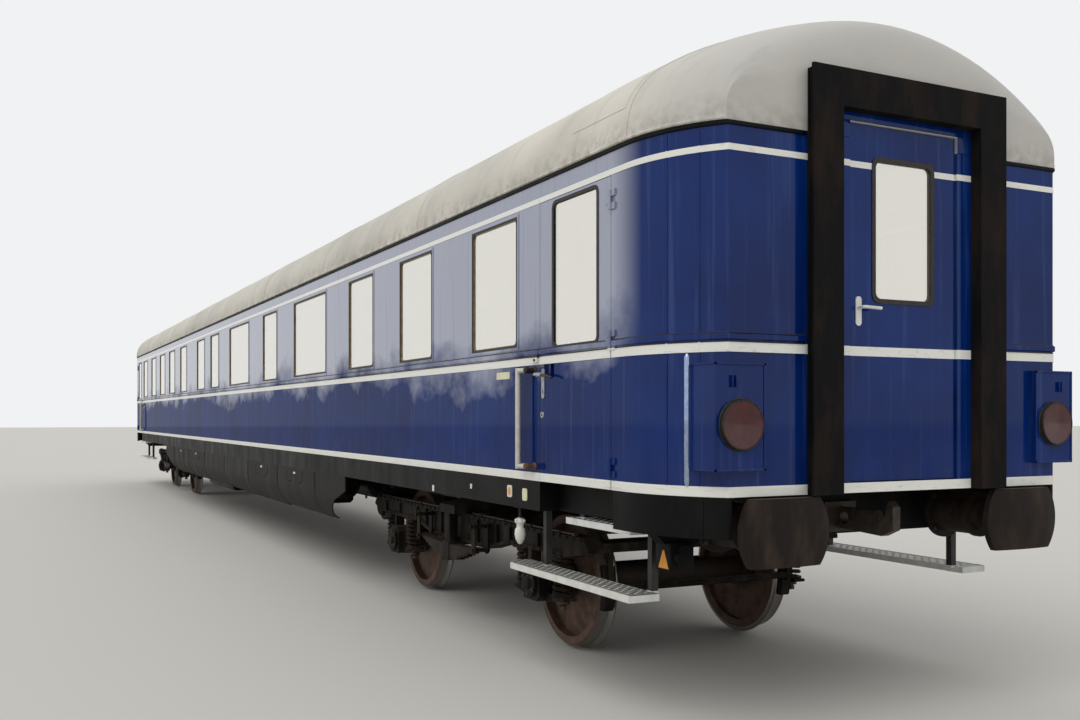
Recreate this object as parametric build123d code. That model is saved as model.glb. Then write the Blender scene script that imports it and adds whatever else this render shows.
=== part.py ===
from build123d import *
from math import asin, atan2, cos, radians, sin, sqrt
import os

# A long express passenger coach. Sizes are in millimetres.
# X runs along the coach towards its front end, Y to its left, Z up from the flange tips.

# Wheels and axles
tread_radius = 475
flange_height = 28
rim_width = 135
rim_depth = 66
back_to_back = 1360
web_thickness = 30
web_dish = 40
hub_radius = 135
hub_length = 170
axle_radius = 86
journal_radius = 64
journal_length = 190
journal_spacing = 2000
bearing_gap = 1.0
bearing_inset = 8

# Bogies
wheelbase = 3000
pivot_spacing = 17260
beam_thickness = 120
beam_bottom_z = 725
beam_depth = 155
beam_overhang = 180
beam_belly = 85
beam_belly_half = 620
beam_shoulder = 1000
beam_tip = 60
beam_nose = 70
beam_recess = 22
beam_flange = 26
end_beam_width = 90
transom_offset = 450
transom_width = 150
transom_depth = 190
bolster_width = 340
bolster_depth = 120
bolster_length = 2320
bolster_flat = 1800
bolster_fall = 50
axlebox_width = 260
axlebox_height = 250
axlebox_cover_radius = 105
axlebox_cover_depth = 25
wing_length = 790
wing_thickness = 34
wing_tip = 20
wing_bottom_z = 400
coil_radius = 78
coil_offset = 290
coil_wire = 30
coil_turns = 6
horn_thickness = 34
horn_spread = 28
horn_gap = 6
leaf_count = 7
leaf_thickness = 17
leaf_width = 96
leaf_length = 1340
leaf_step = 150
leaf_gap = 14
leaf_sag = 28
leaf_pin_radius = 30
leaf_link_width = 40
leaf_buckle = 140
block_gap = 8
block_thickness = 46
block_width = 78
block_angle = 34
brake_bar_size = 60
brake_bar_bottom_z = 790
brake_bar_gap = 41
hanger_size = 26
generator_radius = 165
generator_length = 520
generator_gap = 40
generator_y = -640
swivel_clearance = 0.5

# Body shell
body_width = 2880
wall_thickness = 60
door_edge_x = 11830
door_opening = 896
corner_start = 150
corner_radius = 923
corner_turn = 42
body_bottom_z = 1275
floor_thickness = 55
door_head_z = 3040
eaves_z = 3193
sole_bottom_z = 1085
sole_inset = 140
sole_thickness = 180
centre_sill_y = 110
centre_sill_width = 80
member_count = 13
member_width = 90
member_rise = 20
member_start = 700

# Roof
roof_overhang = 14
roof_lip = 13
roof_side_radius = 500
roof_top_z = 4000
vent_pitch = 4500
vent_neck_radius = 110
vent_radius = 170
vent_top_radius = 120
vent_rise = 40
vent_cap_height = 40
ceiling_rise = 287
ceiling_inset = 80
lobby_ceiling_rise = 107
lobby_ceiling_width = 2080

# Windows
window_bottom_z = 2125
window_top_z = 3026
frame_border = 26
frame_proud = 5
glass_thickness = 10
glass_inset = 6

# Side and end doors
door_gap = 5
leaf_depth = 45
hinge_out = 12
hinge_along = 2
door_window_width = 538
door_window_edge = 163
door_window_top_z = 2998
pocket_depth = 22
pocket_bottom_z = 1930
pocket_height = 90
pocket_edge = 55
pocket_width = 140
handle_width = 24
handle_thickness = 12
handle_overlap = 5
hinge_radius = 11.7
hinge_pin_radius = 6
hinge_height = 110
hinge_slack = 0.4
hinge_strap = 50
hinge_strap_thickness = 10
end_door_opening = 800
end_door_height = 1950
end_leaf_depth = 40
end_window_width = 420
end_window_height = 760
end_window_rise = 1000

# Running boards, rails and ends
skirt_reach = 6580
skirt_cutback = 950
skirt_bottom_z = 580
skirt_bend_z = 880
skirt_tuck = 200
skirt_thickness = 14
end_skirt_drop = 25
end_skirt_thickness = 20
end_skirt_start = 20
step_thickness = 40
upper_step_top_z = 1060
upper_step_length = 770
upper_step_depth = 140
upper_step_inset = 100
upper_step_past = 40
lower_step_top_z = 690
lower_step_length = 1670
lower_step_past = 100
lower_step_inset = 55
lower_step_depth = 200
lower_step_chamfer = 120
post_size = 44
buffer_spacing = 1750
buffer_height = 1088
buffer_proud = 75
buffer_length = 620
buffer_head_radius = 285
buffer_head_height = 356
buffer_head_thickness = 60
buffer_case_radius = 125
buffer_case_length = 300
buffer_plunger_radius = 95
buffer_flange_radius = 165
buffer_flange_depth = 24
buffer_collar = 12
buffer_collar_length = 30
buffer_flare = 50
buffer_dome = 24
buffer_flat_radius = 80
hook_thickness = 56
hook_reach = 480
hook_eye_radius = 36
hook_eye_x = 90
hook_shank = 60
hook_belly = 80
hook_jaw = 90
hook_throat = 110
hook_rise = 120
hook_nose = 40
headstock_depth = 100
headstock_bottom_z = 985
headstock_taper = 70
gangway_length = 75
gangway_folds = 3
gangway_fold_depth = 14
gangway_plate = 18
gangway_tube = 190
gangway_opening = 1020
gangway_top_z = 3330
lamp_radius = 130
lamp_depth = 26
lamp_y = 1160
lamp_z = 1645
housing_bottom_z = 1410
housing_top_z = 1960
housing_inner_y = 1000
housing_outer_y = 1320
housing_back = 215
housing_proud = 40
rail_radius = 17
rail_offset = 1090
rail_bottom_z = 1350
rail_top_z = 2000
rail_stand = 62

# Benches and the equipment under the floor
bay_count = 11
bay_pitch = 1960
bench_facing = 1560
bench_aisle = 330
bench_wall_gap = 20
bench_depth = 460
bench_height = 430
bench_toe = 30
bench_cushion = 100
bench_back_top = 1150
bench_back_lean = 130
bench_back_thickness = 100
bench_back_start = 40
equipment_inset = 290
equipment_middle = 250
equipment_chamfer = 40
tank_radius = 165

# Derived places
half_width = body_width / 2
inner_half = half_width - wall_thickness
axle_z = flange_height + tread_radius
pivot_x = pivot_spacing / 2
axle_offset = wheelbase / 2
wheel_inner_y = back_to_back / 2
wheel_outer_y = wheel_inner_y + rim_width
journal_y = journal_spacing / 2
corner_x = door_edge_x + corner_start
end_x = corner_x + corner_radius * sin(radians(corner_turn))
corner_y = half_width - corner_radius * (1 - cos(radians(corner_turn)))
door_inner_x = door_edge_x - door_opening
floor_z = body_bottom_z + floor_thickness
buffer_face_x = end_x + buffer_proud
headstock_x = buffer_face_x - buffer_length
beam_top_z = beam_bottom_z + beam_depth
brake_bar_x = tread_radius + block_gap + block_thickness + brake_bar_gap
beam_reach = axle_offset + brake_bar_x + beam_overhang
bolster_top_z = beam_top_z + bolster_depth
hinge_x = door_edge_x + hinge_along
hinge_y = -half_width - hinge_out
end_hinge_x = end_x - wall_thickness - hinge_out
end_hinge_y = end_door_opening / 2 + hinge_along
sole_inner_half = half_width - sole_inset - sole_thickness
corners = [(1, -1), (1, 1), (-1, -1), (-1, 1)]
corner_names = {(1, -1): "front_right", (1, 1): "front_left", (-1, -1): "rear_right", (-1, 1): "rear_left"}

nodes = {}
os.makedirs("parts", exist_ok=True)


def block(x0, x1, y0, y1, z0, z1):
    """A box from its low and high faces."""
    return Pos((x0 + x1) / 2, (y0 + y1) / 2, (z0 + z1) / 2) * Box(abs(x1 - x0), abs(y1 - y0), abs(z1 - z0))


def rod_x(radius, x0, x1, y, z):
    """A round bar along X."""
    return Pos((x0 + x1) / 2, y, z) * Rot(0, 90, 0) * Cylinder(radius, abs(x1 - x0))


def rod_y(radius, x, y0, y1, z):
    """A round bar along Y."""
    return Pos(x, (y0 + y1) / 2, z) * Rot(90, 0, 0) * Cylinder(radius, abs(y1 - y0))


def rod_z(radius, x, y, z0, z1):
    """A round bar along Z."""
    return Pos(x, y, (z0 + z1) / 2) * Cylinder(radius, abs(z1 - z0))


def side_plate(points, y0, y1):
    """A flat outline of (x, z) points, as thick as from y0 to y1."""
    outline = [Vector(x, y0, z) for x, z in points]
    face = Face(Wire(Polyline(*outline, close=True).edges()))
    return extrude(face, amount=y1 - y0, dir=(0, 1, 0))


def cross_plate(points, x0, x1):
    """A flat outline of (y, z) points, as thick as from x0 to x1."""
    outline = [Vector(x0, y, z) for y, z in points]
    face = Face(Wire(Polyline(*outline, close=True).edges()))
    return extrude(face, amount=x1 - x0, dir=(1, 0, 0))


def fused(pieces):
    """One body from a list of pieces that meet."""
    body = pieces[0]
    for piece in pieces[1:]:
        body = body + piece
    return body


def at_corner(shape, sx, sy):
    """A piece drawn at the front right corner, moved to another corner."""
    if sx < 0:
        shape = mirror(shape, about=Plane.YZ)
    if sy > 0:
        shape = mirror(shape, about=Plane.XZ)
    return shape


def at_corners(shape):
    """The same piece at all four corners."""
    return [at_corner(shape, sx, sy) for sx, sy in corners]


def hinge_parts(x, y, heights, swung):
    """Fixed knuckles with their pin, and the knuckle that turns on it, at each height.

    The strap of the moving knuckle runs along -X when swung is 1, or along -Y when it is 0.
    """
    fixed = []
    moving = []
    third = hinge_height / 3
    strap = hinge_strap_thickness
    for z in heights:
        low = z - hinge_height / 2
        pin = rod_z(hinge_pin_radius, x, y, low, low + hinge_height)
        turning = rod_z(hinge_radius, x, y, low + third + hinge_slack, low + 2 * third - hinge_slack)
        z0 = low + third + hinge_slack
        z1 = low + 2 * third - hinge_slack
        if swung:
            turning += block(x - hinge_strap, x - hinge_along, y + hinge_out - strap, y + hinge_out, z0, z1)
        else:
            near = y - hinge_along - door_gap
            turning += block(x + hinge_out - strap, x + hinge_out, y - hinge_strap, y - hinge_along, z0, z1)
            turning += block(x + hinge_out - strap, x + hinge_out + door_gap, y - hinge_strap, near, z0, z1)
        moving.append(turning - rod_z(hinge_pin_radius + hinge_slack, x, y, low, low + hinge_height))
        for z0, z1 in ((low, low + third), (low + 2 * third, low + hinge_height)):
            knuckle = rod_z(hinge_radius, x, y, z0, z1)
            if swung:
                near = x - hinge_along + 1
                knuckle += block(near, x + hinge_strap, y + hinge_out - strap, y + hinge_out, z0, z1)
            else:
                near = y - hinge_along + 1
                knuckle += block(x + hinge_out - strap, x + hinge_out, near, y + hinge_strap, z0, z1)
            pin += knuckle
        fixed.append(pin)
    return fixed, moving


def at_ends(shape):
    """The same piece at both ends."""
    return [shape, mirror(shape, about=Plane.YZ)]


def on_sides(shape):
    """The same piece on both sides."""
    return [shape, mirror(shape, about=Plane.XZ)]


# Plan of the body: straight sides, bent corners and flat ends

def body_plan(inset, z):
    """The plan outline, drawn in by an inset."""
    radius = corner_radius - inset
    half = half_width - inset
    turn = asin((end_x - inset - corner_x) / radius)

    def edges_of(sx, sy):
        def point(angle):
            return Vector(sx * (corner_x + radius * sin(angle)), sy * (half - radius * (1 - cos(angle))), z)

        return point(0), point(turn / 2), point(turn)

    a, b, c = edges_of(1, -1)
    d, e, f = edges_of(1, 1)
    g, h, i = edges_of(-1, 1)
    j, k, l = edges_of(-1, -1)
    edges = [
        ThreePointArc(a, b, c), Line(c, f), ThreePointArc(f, e, d), Line(d, g),
        ThreePointArc(g, h, i), Line(i, l), ThreePointArc(l, k, j), Line(j, a),
    ]
    return Face(Wire([edge.edge() for edge in edges]))


def plan_solid(inset, z0, z1):
    """The plan outline as a solid between two heights."""
    return extrude(body_plan(inset, z0), amount=z1 - z0, dir=(0, 0, 1))


def half_width_at(x):
    """Half the width of the body at a place along it."""
    along = max(0.0, x - corner_x)
    return half_width - corner_radius + sqrt(corner_radius ** 2 - along ** 2)


# Underframe and floor

def make_underframe():
    """Solebars, sills, centre sills and cross members."""
    reach = headstock_x - headstock_depth
    low = sole_bottom_z + member_rise
    top = body_bottom_z
    pieces = []
    for side in (-1, 1):
        sill_out = side * half_width
        sole_out = side * (half_width - sole_inset)
        sole_in = side * sole_inner_half
        pieces.append(block(-reach, reach, sole_in, sole_out, sole_bottom_z, top))
        pieces.append(block(-door_inner_x, door_inner_x, sole_out, sill_out, sole_bottom_z, top))
        centre_out = side * (centre_sill_y + centre_sill_width)
        pieces.append(block(-reach, reach, side * centre_sill_y, centre_out, low, top))
    first = reach - member_start
    for index in range(member_count):
        x = first * (2 * index / (member_count - 1) - 1)
        half = member_width / 2
        pieces.append(block(x - half, x + half, -sole_inner_half, sole_inner_half, low, top))
    return fused(pieces)


def make_headstock():
    """The cross beam that carries the buffers and the draw hook of the front end."""
    half = half_width - sole_inset
    low = headstock_bottom_z
    right = [(half - headstock_taper, low), (half, low + headstock_taper), (half, body_bottom_z)]
    left = [(-y, z) for y, z in reversed(right)]
    return cross_plate(right + left, headstock_x - headstock_depth, headstock_x)


def make_body_bolsters():
    """The cross beams over the bogies, each with its centre plate and pivot pin."""
    top = sole_bottom_z
    plate = bolster_top_z + swivel_clearance
    beam = block(pivot_x - 200, pivot_x + 200, -sole_inner_half, sole_inner_half, plate + 12, top)
    centre = rod_z(190, pivot_x, 0, plate, plate + 12)
    pin = rod_z(60, pivot_x, 0, bolster_top_z - 80, plate)
    return at_ends(beam + centre + pin)


nodes["underframe"] = [make_underframe()]
nodes["headstocks"] = at_ends(make_headstock())
nodes["body_bolsters"] = make_body_bolsters()
nodes["floor"] = [plan_solid(wall_thickness, body_bottom_z, floor_z)]


# Side walls with their windows

# Windows, counted from the front door's hinged edge: distance to the middle, width
windows = [
    (1605, 800), (3190, 810), (4710, 810), (6640, 1430), (8620, 830), (10640, 1450), (12640, 780),
    (14000, 820), (16000, 820), (17550, 820), (19000, 820), (20500, 820), (22055, 800),
]


def make_side_wall():
    """The right side between its two doors."""
    wall = block(-door_inner_x, door_inner_x, -half_width, -inner_half, body_bottom_z, door_head_z)
    for distance, width in windows:
        x = door_edge_x - distance
        half = width / 2
        wall -= block(x - half, x + half, -half_width - 1, -inner_half + 1, window_bottom_z, window_top_z)
    return wall


def make_window_frames():
    """Metal frames that line the window openings of the right side."""
    frames = []
    for distance, width in windows:
        x = door_edge_x - distance
        half = width / 2
        outer = -half_width - frame_proud
        frame = block(x - half, x + half, outer, -inner_half, window_bottom_z, window_top_z)
        frame -= block(
            x - half + frame_border, x + half - frame_border, outer - 1, -inner_half + 1,
            window_bottom_z + frame_border, window_top_z - frame_border)
        frames.append(frame)
    return frames


def make_window_glass():
    """Panes held by the window frames of the right side."""
    panes = []
    for distance, width in windows:
        x = door_edge_x - distance
        half = width / 2 - frame_border
        outer = -half_width + glass_inset
        panes.append(block(
            x - half, x + half, outer, outer + glass_thickness,
            window_bottom_z + frame_border, window_top_z - frame_border))
    return panes


def mirrored(pieces):
    """A list of pieces with its mirror images on the other side."""
    return pieces + [mirror(piece, about=Plane.XZ) for piece in pieces]


side_wall = make_side_wall()
nodes["side_wall_right"] = [side_wall]
nodes["side_wall_left"] = [mirror(side_wall, about=Plane.XZ)]
nodes["window_frames"] = mirrored(make_window_frames())
nodes["window_glass"] = mirrored(make_window_glass())
cantrail = block(-door_edge_x, door_edge_x, -half_width, -inner_half, door_head_z, eaves_z)
nodes["cantrails"] = mirrored([cantrail])


# End walls with their bent corners

# Heights of the hinges of the side doors and of the end doors
side_hinge_heights = [1400, 2115, 2900]
end_hinge_heights = [1500, 2200, 2900]


def make_end_wall():
    """The front end, from the side doors round both corners, with its doorway."""
    shell = plan_solid(0, body_bottom_z, eaves_z) - plan_solid(wall_thickness, body_bottom_z - 1, eaves_z + 1)
    reach = end_x + 100
    shell = shell & block(door_edge_x, reach, -half_width - 10, half_width + 10, body_bottom_z, eaves_z)
    half = end_door_opening / 2
    shell -= block(end_x - 2 * wall_thickness, reach, -half, half, floor_z, eaves_z + 1)
    right, _ = hinge_parts(hinge_x, hinge_y, side_hinge_heights, 1)
    end, _ = hinge_parts(end_hinge_x, end_hinge_y, end_hinge_heights, 0)
    left = [mirror(piece, about=Plane.XZ) for piece in right]
    return fused([shell] + right + left + end)


end_wall = make_end_wall()
nodes["end_wall_front"] = [end_wall]
nodes["end_wall_rear"] = [mirror(end_wall, about=Plane.YZ)]


# Roof with domed ends

# Dome sections: back from the end wall, drop of the crown, side radius, lift of the side's straight edge
dome_sections = [
    (1050, 0, roof_side_radius, 0), (480, 40, 480, 0), (200, 80, 440, 0), (80, 125, 390, 0),
    (25, 220, 290, 22), (0, 420, 180, 54),
]


def roof_section(x, drop, side_radius, lift):
    """The closed section of the roof at one place, made of lines and three arcs."""
    half = half_width_at(x) + roof_overhang
    spring = eaves_z + roof_lip + lift
    top = roof_top_z - drop
    reach = half - side_radius
    rise = top - spring
    crown_radius = (reach ** 2 + rise ** 2 - side_radius ** 2) / (2 * (rise - side_radius))
    centre_z = top - crown_radius
    angle = atan2(spring - centre_z, reach)
    touch_y = crown_radius * cos(angle)
    touch_z = centre_z + crown_radius * sin(angle)
    mid_y = reach + side_radius * cos(angle / 2)
    mid_z = spring + side_radius * sin(angle / 2)
    edges = [
        Line((x, -half, eaves_z), (x, -half, spring)),
        ThreePointArc((x, -half, spring), (x, -mid_y, mid_z), (x, -touch_y, touch_z)),
        ThreePointArc((x, -touch_y, touch_z), (x, 0, top), (x, touch_y, touch_z)),
        ThreePointArc((x, touch_y, touch_z), (x, mid_y, mid_z), (x, half, spring)),
        Line((x, half, spring), (x, half, eaves_z)),
        Line((x, half, eaves_z), (x, -half, eaves_z)),
    ]
    return Face(Wire([edge.edge() for edge in edges]))


def make_roof():
    """The roof over the whole coach, hollow over the saloon and the two lobbies."""
    dome_start = end_x - dome_sections[0][0]
    middle = extrude(roof_section(-dome_start, *dome_sections[0][1:]), amount=2 * dome_start, dir=(1, 0, 0))
    sections = [roof_section(end_x - back, drop, radius, lift) for back, drop, radius, lift in dome_sections]
    dome = loft(sections, ruled=True)
    roof = middle + dome + mirror(dome, about=Plane.YZ)
    saloon_x = door_inner_x - 84
    low = inner_half
    high = inner_half - ceiling_inset
    saloon = [
        Vector(-saloon_x, -low, eaves_z - 1), Vector(-saloon_x, low, eaves_z - 1),
        Vector(-saloon_x, high, eaves_z + ceiling_rise), Vector(-saloon_x, -high, eaves_z + ceiling_rise),
    ]
    roof -= extrude(Face(Wire(Polyline(*saloon, close=True).edges())), amount=2 * saloon_x, dir=(1, 0, 0))
    half = lobby_ceiling_width / 2
    for end in (-1, 1):
        low_x = end * (door_inner_x + 16)
        high_x = end * (end_x - 110)
        roof -= block(low_x, high_x, -half, half, eaves_z - 1, eaves_z + lobby_ceiling_rise)
        half_door = end_door_opening / 2
        notch_x = end * (end_x - 2 * wall_thickness)
        head_z = floor_z + end_door_height
        roof -= block(notch_x, end * (end_x + 20), -half_door, half_door, eaves_z - 1, head_z)
    return roof


def make_roof_vents():
    """Low round ventilators along the crown."""
    vents = []
    main = roof_section(-end_x, *dome_sections[0][1:])
    crown = extrude(main, amount=2 * end_x, dir=(1, 0, 0))
    top = roof_top_z + vent_rise
    for index in range(-2, 3):
        x = index * vent_pitch
        base = rod_z(vent_neck_radius, x, 0, roof_top_z - vent_rise / 2, top) - crown
        cap = Pos(x, 0, top + vent_cap_height / 2) * Cone(vent_radius, vent_top_radius, vent_cap_height)
        vents.append(base + cap)
    return vents


nodes["roof"] = [make_roof()]
nodes["roof_vents"] = make_roof_vents()


# Inside

def make_partitions():
    """Cross walls between the saloon and the lobbies, each with a doorway."""
    wall = block(door_inner_x - 64, door_inner_x - 4, -inner_half, inner_half, floor_z, eaves_z)
    wall -= block(door_inner_x - 100, door_inner_x + 10, -350, 350, floor_z - 1, floor_z + 1800)
    return at_ends(wall)


def make_seats():
    """Pairs of benches that face each other in bays along both sides."""
    base = bench_height - bench_cushion
    toe = bench_depth - bench_toe
    top = bench_back_start - bench_back_lean
    outline = [
        (0, 0), (toe, 0), (toe, base), (bench_depth, bench_height),
        (bench_back_start, bench_height - bench_toe), (top, bench_back_top),
        (top - bench_back_thickness, bench_back_top), (-2 * bench_toe, base),
    ]
    benches = []
    for index in range(bay_count):
        x = (index - (bay_count - 1) / 2) * bay_pitch
        start = x - bench_facing / 2
        finish = x + bench_facing / 2
        for side in (-1, 1):
            back = [(start + px, floor_z + pz) for px, pz in outline]
            front = [(finish - px, floor_z + pz) for px, pz in outline]
            y0, y1 = sorted((side * bench_aisle, side * (inner_half - bench_wall_gap)))
            benches.append(side_plate(back, y0, y1))
            benches.append(side_plate(front, y0, y1))
    return benches


nodes["partitions"] = make_partitions()
nodes["seats"] = make_seats()


# Skirts between the bogies, and round the end corners

def make_skirt():
    """The right skirt: an upright sheet whose lower part bends inwards."""
    drop = skirt_bend_z - skirt_bottom_z
    radius = (skirt_tuck ** 2 + drop ** 2) / (2 * skirt_tuck)
    turn = atan2(drop, radius - skirt_tuck)
    thin = radius - skirt_thickness
    centre_y = -half_width + radius

    def point(r, angle):
        return Vector(-skirt_reach, centre_y - r * cos(angle), skirt_bend_z - r * sin(angle))

    top_out = Vector(-skirt_reach, -half_width, sole_bottom_z)
    top_in = Vector(-skirt_reach, -half_width + skirt_thickness, sole_bottom_z)
    edges = [
        Line(top_out, point(radius, 0)),
        ThreePointArc(point(radius, 0), point(radius, turn / 2), point(radius, turn)),
        Line(point(radius, turn), point(thin, turn)),
        ThreePointArc(point(thin, turn), point(thin, turn / 2), point(thin, 0)),
        Line(point(thin, 0), top_in),
        Line(top_in, top_out),
    ]
    section = Face(Wire([edge.edge() for edge in edges]))
    skirt = extrude(section, amount=2 * skirt_reach, dir=(1, 0, 0))
    low = skirt_bottom_z - 20
    for end in (-1, 1):
        start = end * skirt_reach
        past = end * (skirt_reach + 10)
        middle = end * (skirt_reach - skirt_cutback * 0.45)
        finish = end * (skirt_reach - skirt_cutback)
        points = [
            (start, skirt_bend_z + 60), (middle, skirt_bend_z - 60), (finish, low), (past, low),
            (past, skirt_bend_z + 60),
        ]
        skirt -= side_plate(points, -half_width - 10, -half_width + skirt_tuck + 200)
    return skirt


def make_end_skirt():
    """The dark skirt below the front right corner."""
    low = body_bottom_z - end_skirt_drop - (body_bottom_z - sole_bottom_z)
    ring = plan_solid(0, low, body_bottom_z) - plan_solid(end_skirt_thickness, low - 1, body_bottom_z + 1)
    start = door_edge_x + end_skirt_start
    y1 = -corner_y + end_skirt_thickness
    return ring & block(start, end_x + 10, -half_width - 10, y1, low, body_bottom_z)


skirt = make_skirt()
nodes["skirt_right"] = [skirt]
nodes["skirt_left"] = [mirror(skirt, about=Plane.XZ)]
nodes["end_skirts"] = at_corners(make_end_skirt())


# Steps and grab rails at the side doors

# Posts of the lower step: back from the hinged edge of the door, outer face in from the side
posts = [(1220, 200), (-14, 245)]


def make_lower_step():
    """The long lower step on its two hanging posts."""
    x1 = door_edge_x + lower_step_past
    x0 = x1 - lower_step_length
    y0 = -half_width + lower_step_inset
    y1 = y0 + lower_step_depth
    z0 = lower_step_top_z - step_thickness
    outline = [
        Vector(x0 + lower_step_chamfer, y0, z0), Vector(x1, y0, z0), Vector(x1, y1, z0),
        Vector(x0, y1, z0), Vector(x0, y0 + lower_step_chamfer, z0),
    ]
    face = Face(Wire(Polyline(*outline, close=True).edges()))
    step = extrude(face, amount=step_thickness, dir=(0, 0, 1))
    for back, inset in posts:
        x = door_edge_x - back
        y = -half_width + inset
        half = post_size / 2
        step += block(x - half, x + half, y, y + post_size, lower_step_top_z - 10, sole_bottom_z)
    return step


def make_upper_step():
    """The short upper step under the door, on two brackets."""
    x1 = door_edge_x + upper_step_past
    x0 = x1 - upper_step_length
    y0 = -half_width + upper_step_inset
    step = block(x0, x1, y0, y0 + upper_step_depth, upper_step_top_z - step_thickness, upper_step_top_z)
    for x in (x0 + 120, x1 - 160):
        step += block(x - 25, x + 25, y0 + 50, y0 + upper_step_depth, upper_step_top_z - 5, sole_bottom_z)
    return step


def make_grab_rail():
    """The upright grab rail beside the door."""
    x = door_edge_x - rail_offset
    y = -half_width - rail_stand
    rail = rod_z(rail_radius, x, y, rail_bottom_z, rail_top_z)
    for z in (rail_bottom_z + rail_radius, rail_top_z - rail_radius):
        rail += rod_y(rail_radius, x, y, -half_width, z)
    return rail


nodes["steps_lower"] = at_corners(make_lower_step())
nodes["steps_upper"] = at_corners(make_upper_step())
nodes["grab_rails"] = at_corners(make_grab_rail())


# Ends: buffers, draw gear, gangways and tail lamps

def make_buffer():
    """One buffer, turned about its axis: casing, plunger and a domed head with flat top and bottom."""
    y = -buffer_spacing / 2
    z = buffer_height
    case_x = headstock_x + buffer_case_length
    head_x = buffer_face_x - buffer_head_thickness
    flange_x = headstock_x + buffer_flange_depth
    collar_x = case_x - buffer_collar_length
    collar = buffer_case_radius + buffer_collar
    rim_x = buffer_face_x - buffer_dome
    # Distance along the coach, radius
    outline = [
        (headstock_x, 0), (headstock_x, buffer_flange_radius), (flange_x, buffer_flange_radius),
        (flange_x, buffer_case_radius), (collar_x, buffer_case_radius), (collar_x, collar), (case_x, collar),
        (case_x, buffer_plunger_radius), (head_x - buffer_flare, buffer_plunger_radius),
        (head_x, buffer_plunger_radius + buffer_flare), (head_x, buffer_head_radius),
        (rim_x, buffer_head_radius),
    ]
    points = [(x, y, z + radius) for x, radius in outline]
    reach = buffer_head_radius - buffer_flat_radius
    dome_radius = (reach ** 2 + buffer_dome ** 2) / (2 * buffer_dome)
    fall = dome_radius - sqrt(dome_radius ** 2 - (reach / 2) ** 2)
    flat_edge = (buffer_face_x, y, z + buffer_flat_radius)
    face_middle = (buffer_face_x, y, z)
    dome = ThreePointArc(points[-1], (buffer_face_x - fall, y, flat_edge[2] + reach / 2), flat_edge)
    closing = Polyline(flat_edge, face_middle, points[0])
    edges = [*Polyline(*points).edges(), dome.edge(), *closing.edges()]
    body = revolve(Face(Wire(edges)), axis=Axis((0, y, z), (1, 0, 0)))
    half = buffer_head_height / 2
    wide = 2 * buffer_head_radius
    return body & block(headstock_x, buffer_face_x, y - wide, y + wide, z - half, z + half)


def make_draw_gear():
    """The draw hook at the front end, with its eye."""
    z = buffer_height
    half = hook_thickness / 2
    x = headstock_x
    tip = x + hook_reach
    points = [
        (x, z - hook_shank), (tip - hook_jaw, z - hook_belly), (tip, z - hook_nose), (tip, z + hook_jaw),
        (tip - hook_nose, z + hook_rise), (tip - 1.5 * hook_nose, z + hook_nose), (tip - hook_throat, z),
        (tip - hook_throat - hook_nose, z + hook_shank), (x, z + hook_shank),
    ]
    hook = side_plate(points, -half, half)
    hook -= rod_y(hook_eye_radius, x + hook_eye_x, -half - 1, half + 1, z)
    guide = block(x, x + hook_thickness / 2, -2 * hook_shank, 2 * hook_shank, z - hook_jaw, z + hook_jaw)
    return hook + guide


def gangway_ring(x0, x1, margin):
    """Two uprights and a top round the doorway, as deep as from x0 to x1."""
    half = gangway_opening / 2
    wide = half + gangway_tube - margin
    top = gangway_top_z + gangway_tube - margin
    ring = block(x0, x1, -wide, wide, body_bottom_z, top)
    return ring - block(x0 - 1, x1 + 1, -half, half, body_bottom_z - 1, gangway_top_z)


def make_gangway():
    """The folded bellows round the front doorway, with the plate that meets the next coach."""
    plate_x = end_x + gangway_length - gangway_plate
    pitch = (plate_x - end_x) / gangway_folds
    rings = []
    for index in range(gangway_folds):
        x = end_x + index * pitch
        rings.append(gangway_ring(x, x + pitch / 2, gangway_fold_depth))
        rings.append(gangway_ring(x + pitch / 2, x + pitch, 0))
    rings.append(gangway_ring(plate_x, end_x + gangway_length, -gangway_fold_depth))
    return fused(rings)


def make_lamp_housing():
    """The box that carries the tail lamp, wrapped round the front right corner."""
    box = block(
        end_x - housing_back, end_x + housing_proud, -housing_outer_y, -housing_inner_y,
        housing_bottom_z, housing_top_z)
    return box - plan_solid(0, housing_bottom_z - 1, housing_top_z + 1)


def make_tail_lamp():
    """The round lamp on the front of its housing."""
    x = end_x + housing_proud
    return rod_x(lamp_radius, x, x + lamp_depth, -lamp_y, lamp_z)


nodes["buffers"] = at_corners(make_buffer())
nodes["draw_gear"] = at_ends(make_draw_gear())
gangway = make_gangway()
nodes["gangway_front"] = [gangway]
nodes["gangway_rear"] = [mirror(gangway, about=Plane.YZ)]
nodes["lamp_housings"] = at_corners(make_lamp_housing())
nodes["tail_lamps"] = at_corners(make_tail_lamp())


# Boxes under the floor: middle along the coach, half length, lowest height
boxes = [(-4300, 850, 560), (-1900, 1100, 480), (1500, 1400, 520)]

# Air tanks under the floor: middle along the coach, half length, distance from the centre line
tanks = [(4150, 620, 460), (4150, 620, 880)]


def make_boxes():
    """Battery and heating boxes hung under the sills on both sides."""
    pieces = []
    for x, half, low in boxes:
        y1 = half_width - equipment_inset
        box = block(x - half, x + half, -y1, -equipment_middle, low, sole_bottom_z)
        box = chamfer(box.edges().filter_by(Axis.X).sort_by(Axis.Z)[:2], equipment_chamfer)
        pieces += on_sides(box)
    return pieces


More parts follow.
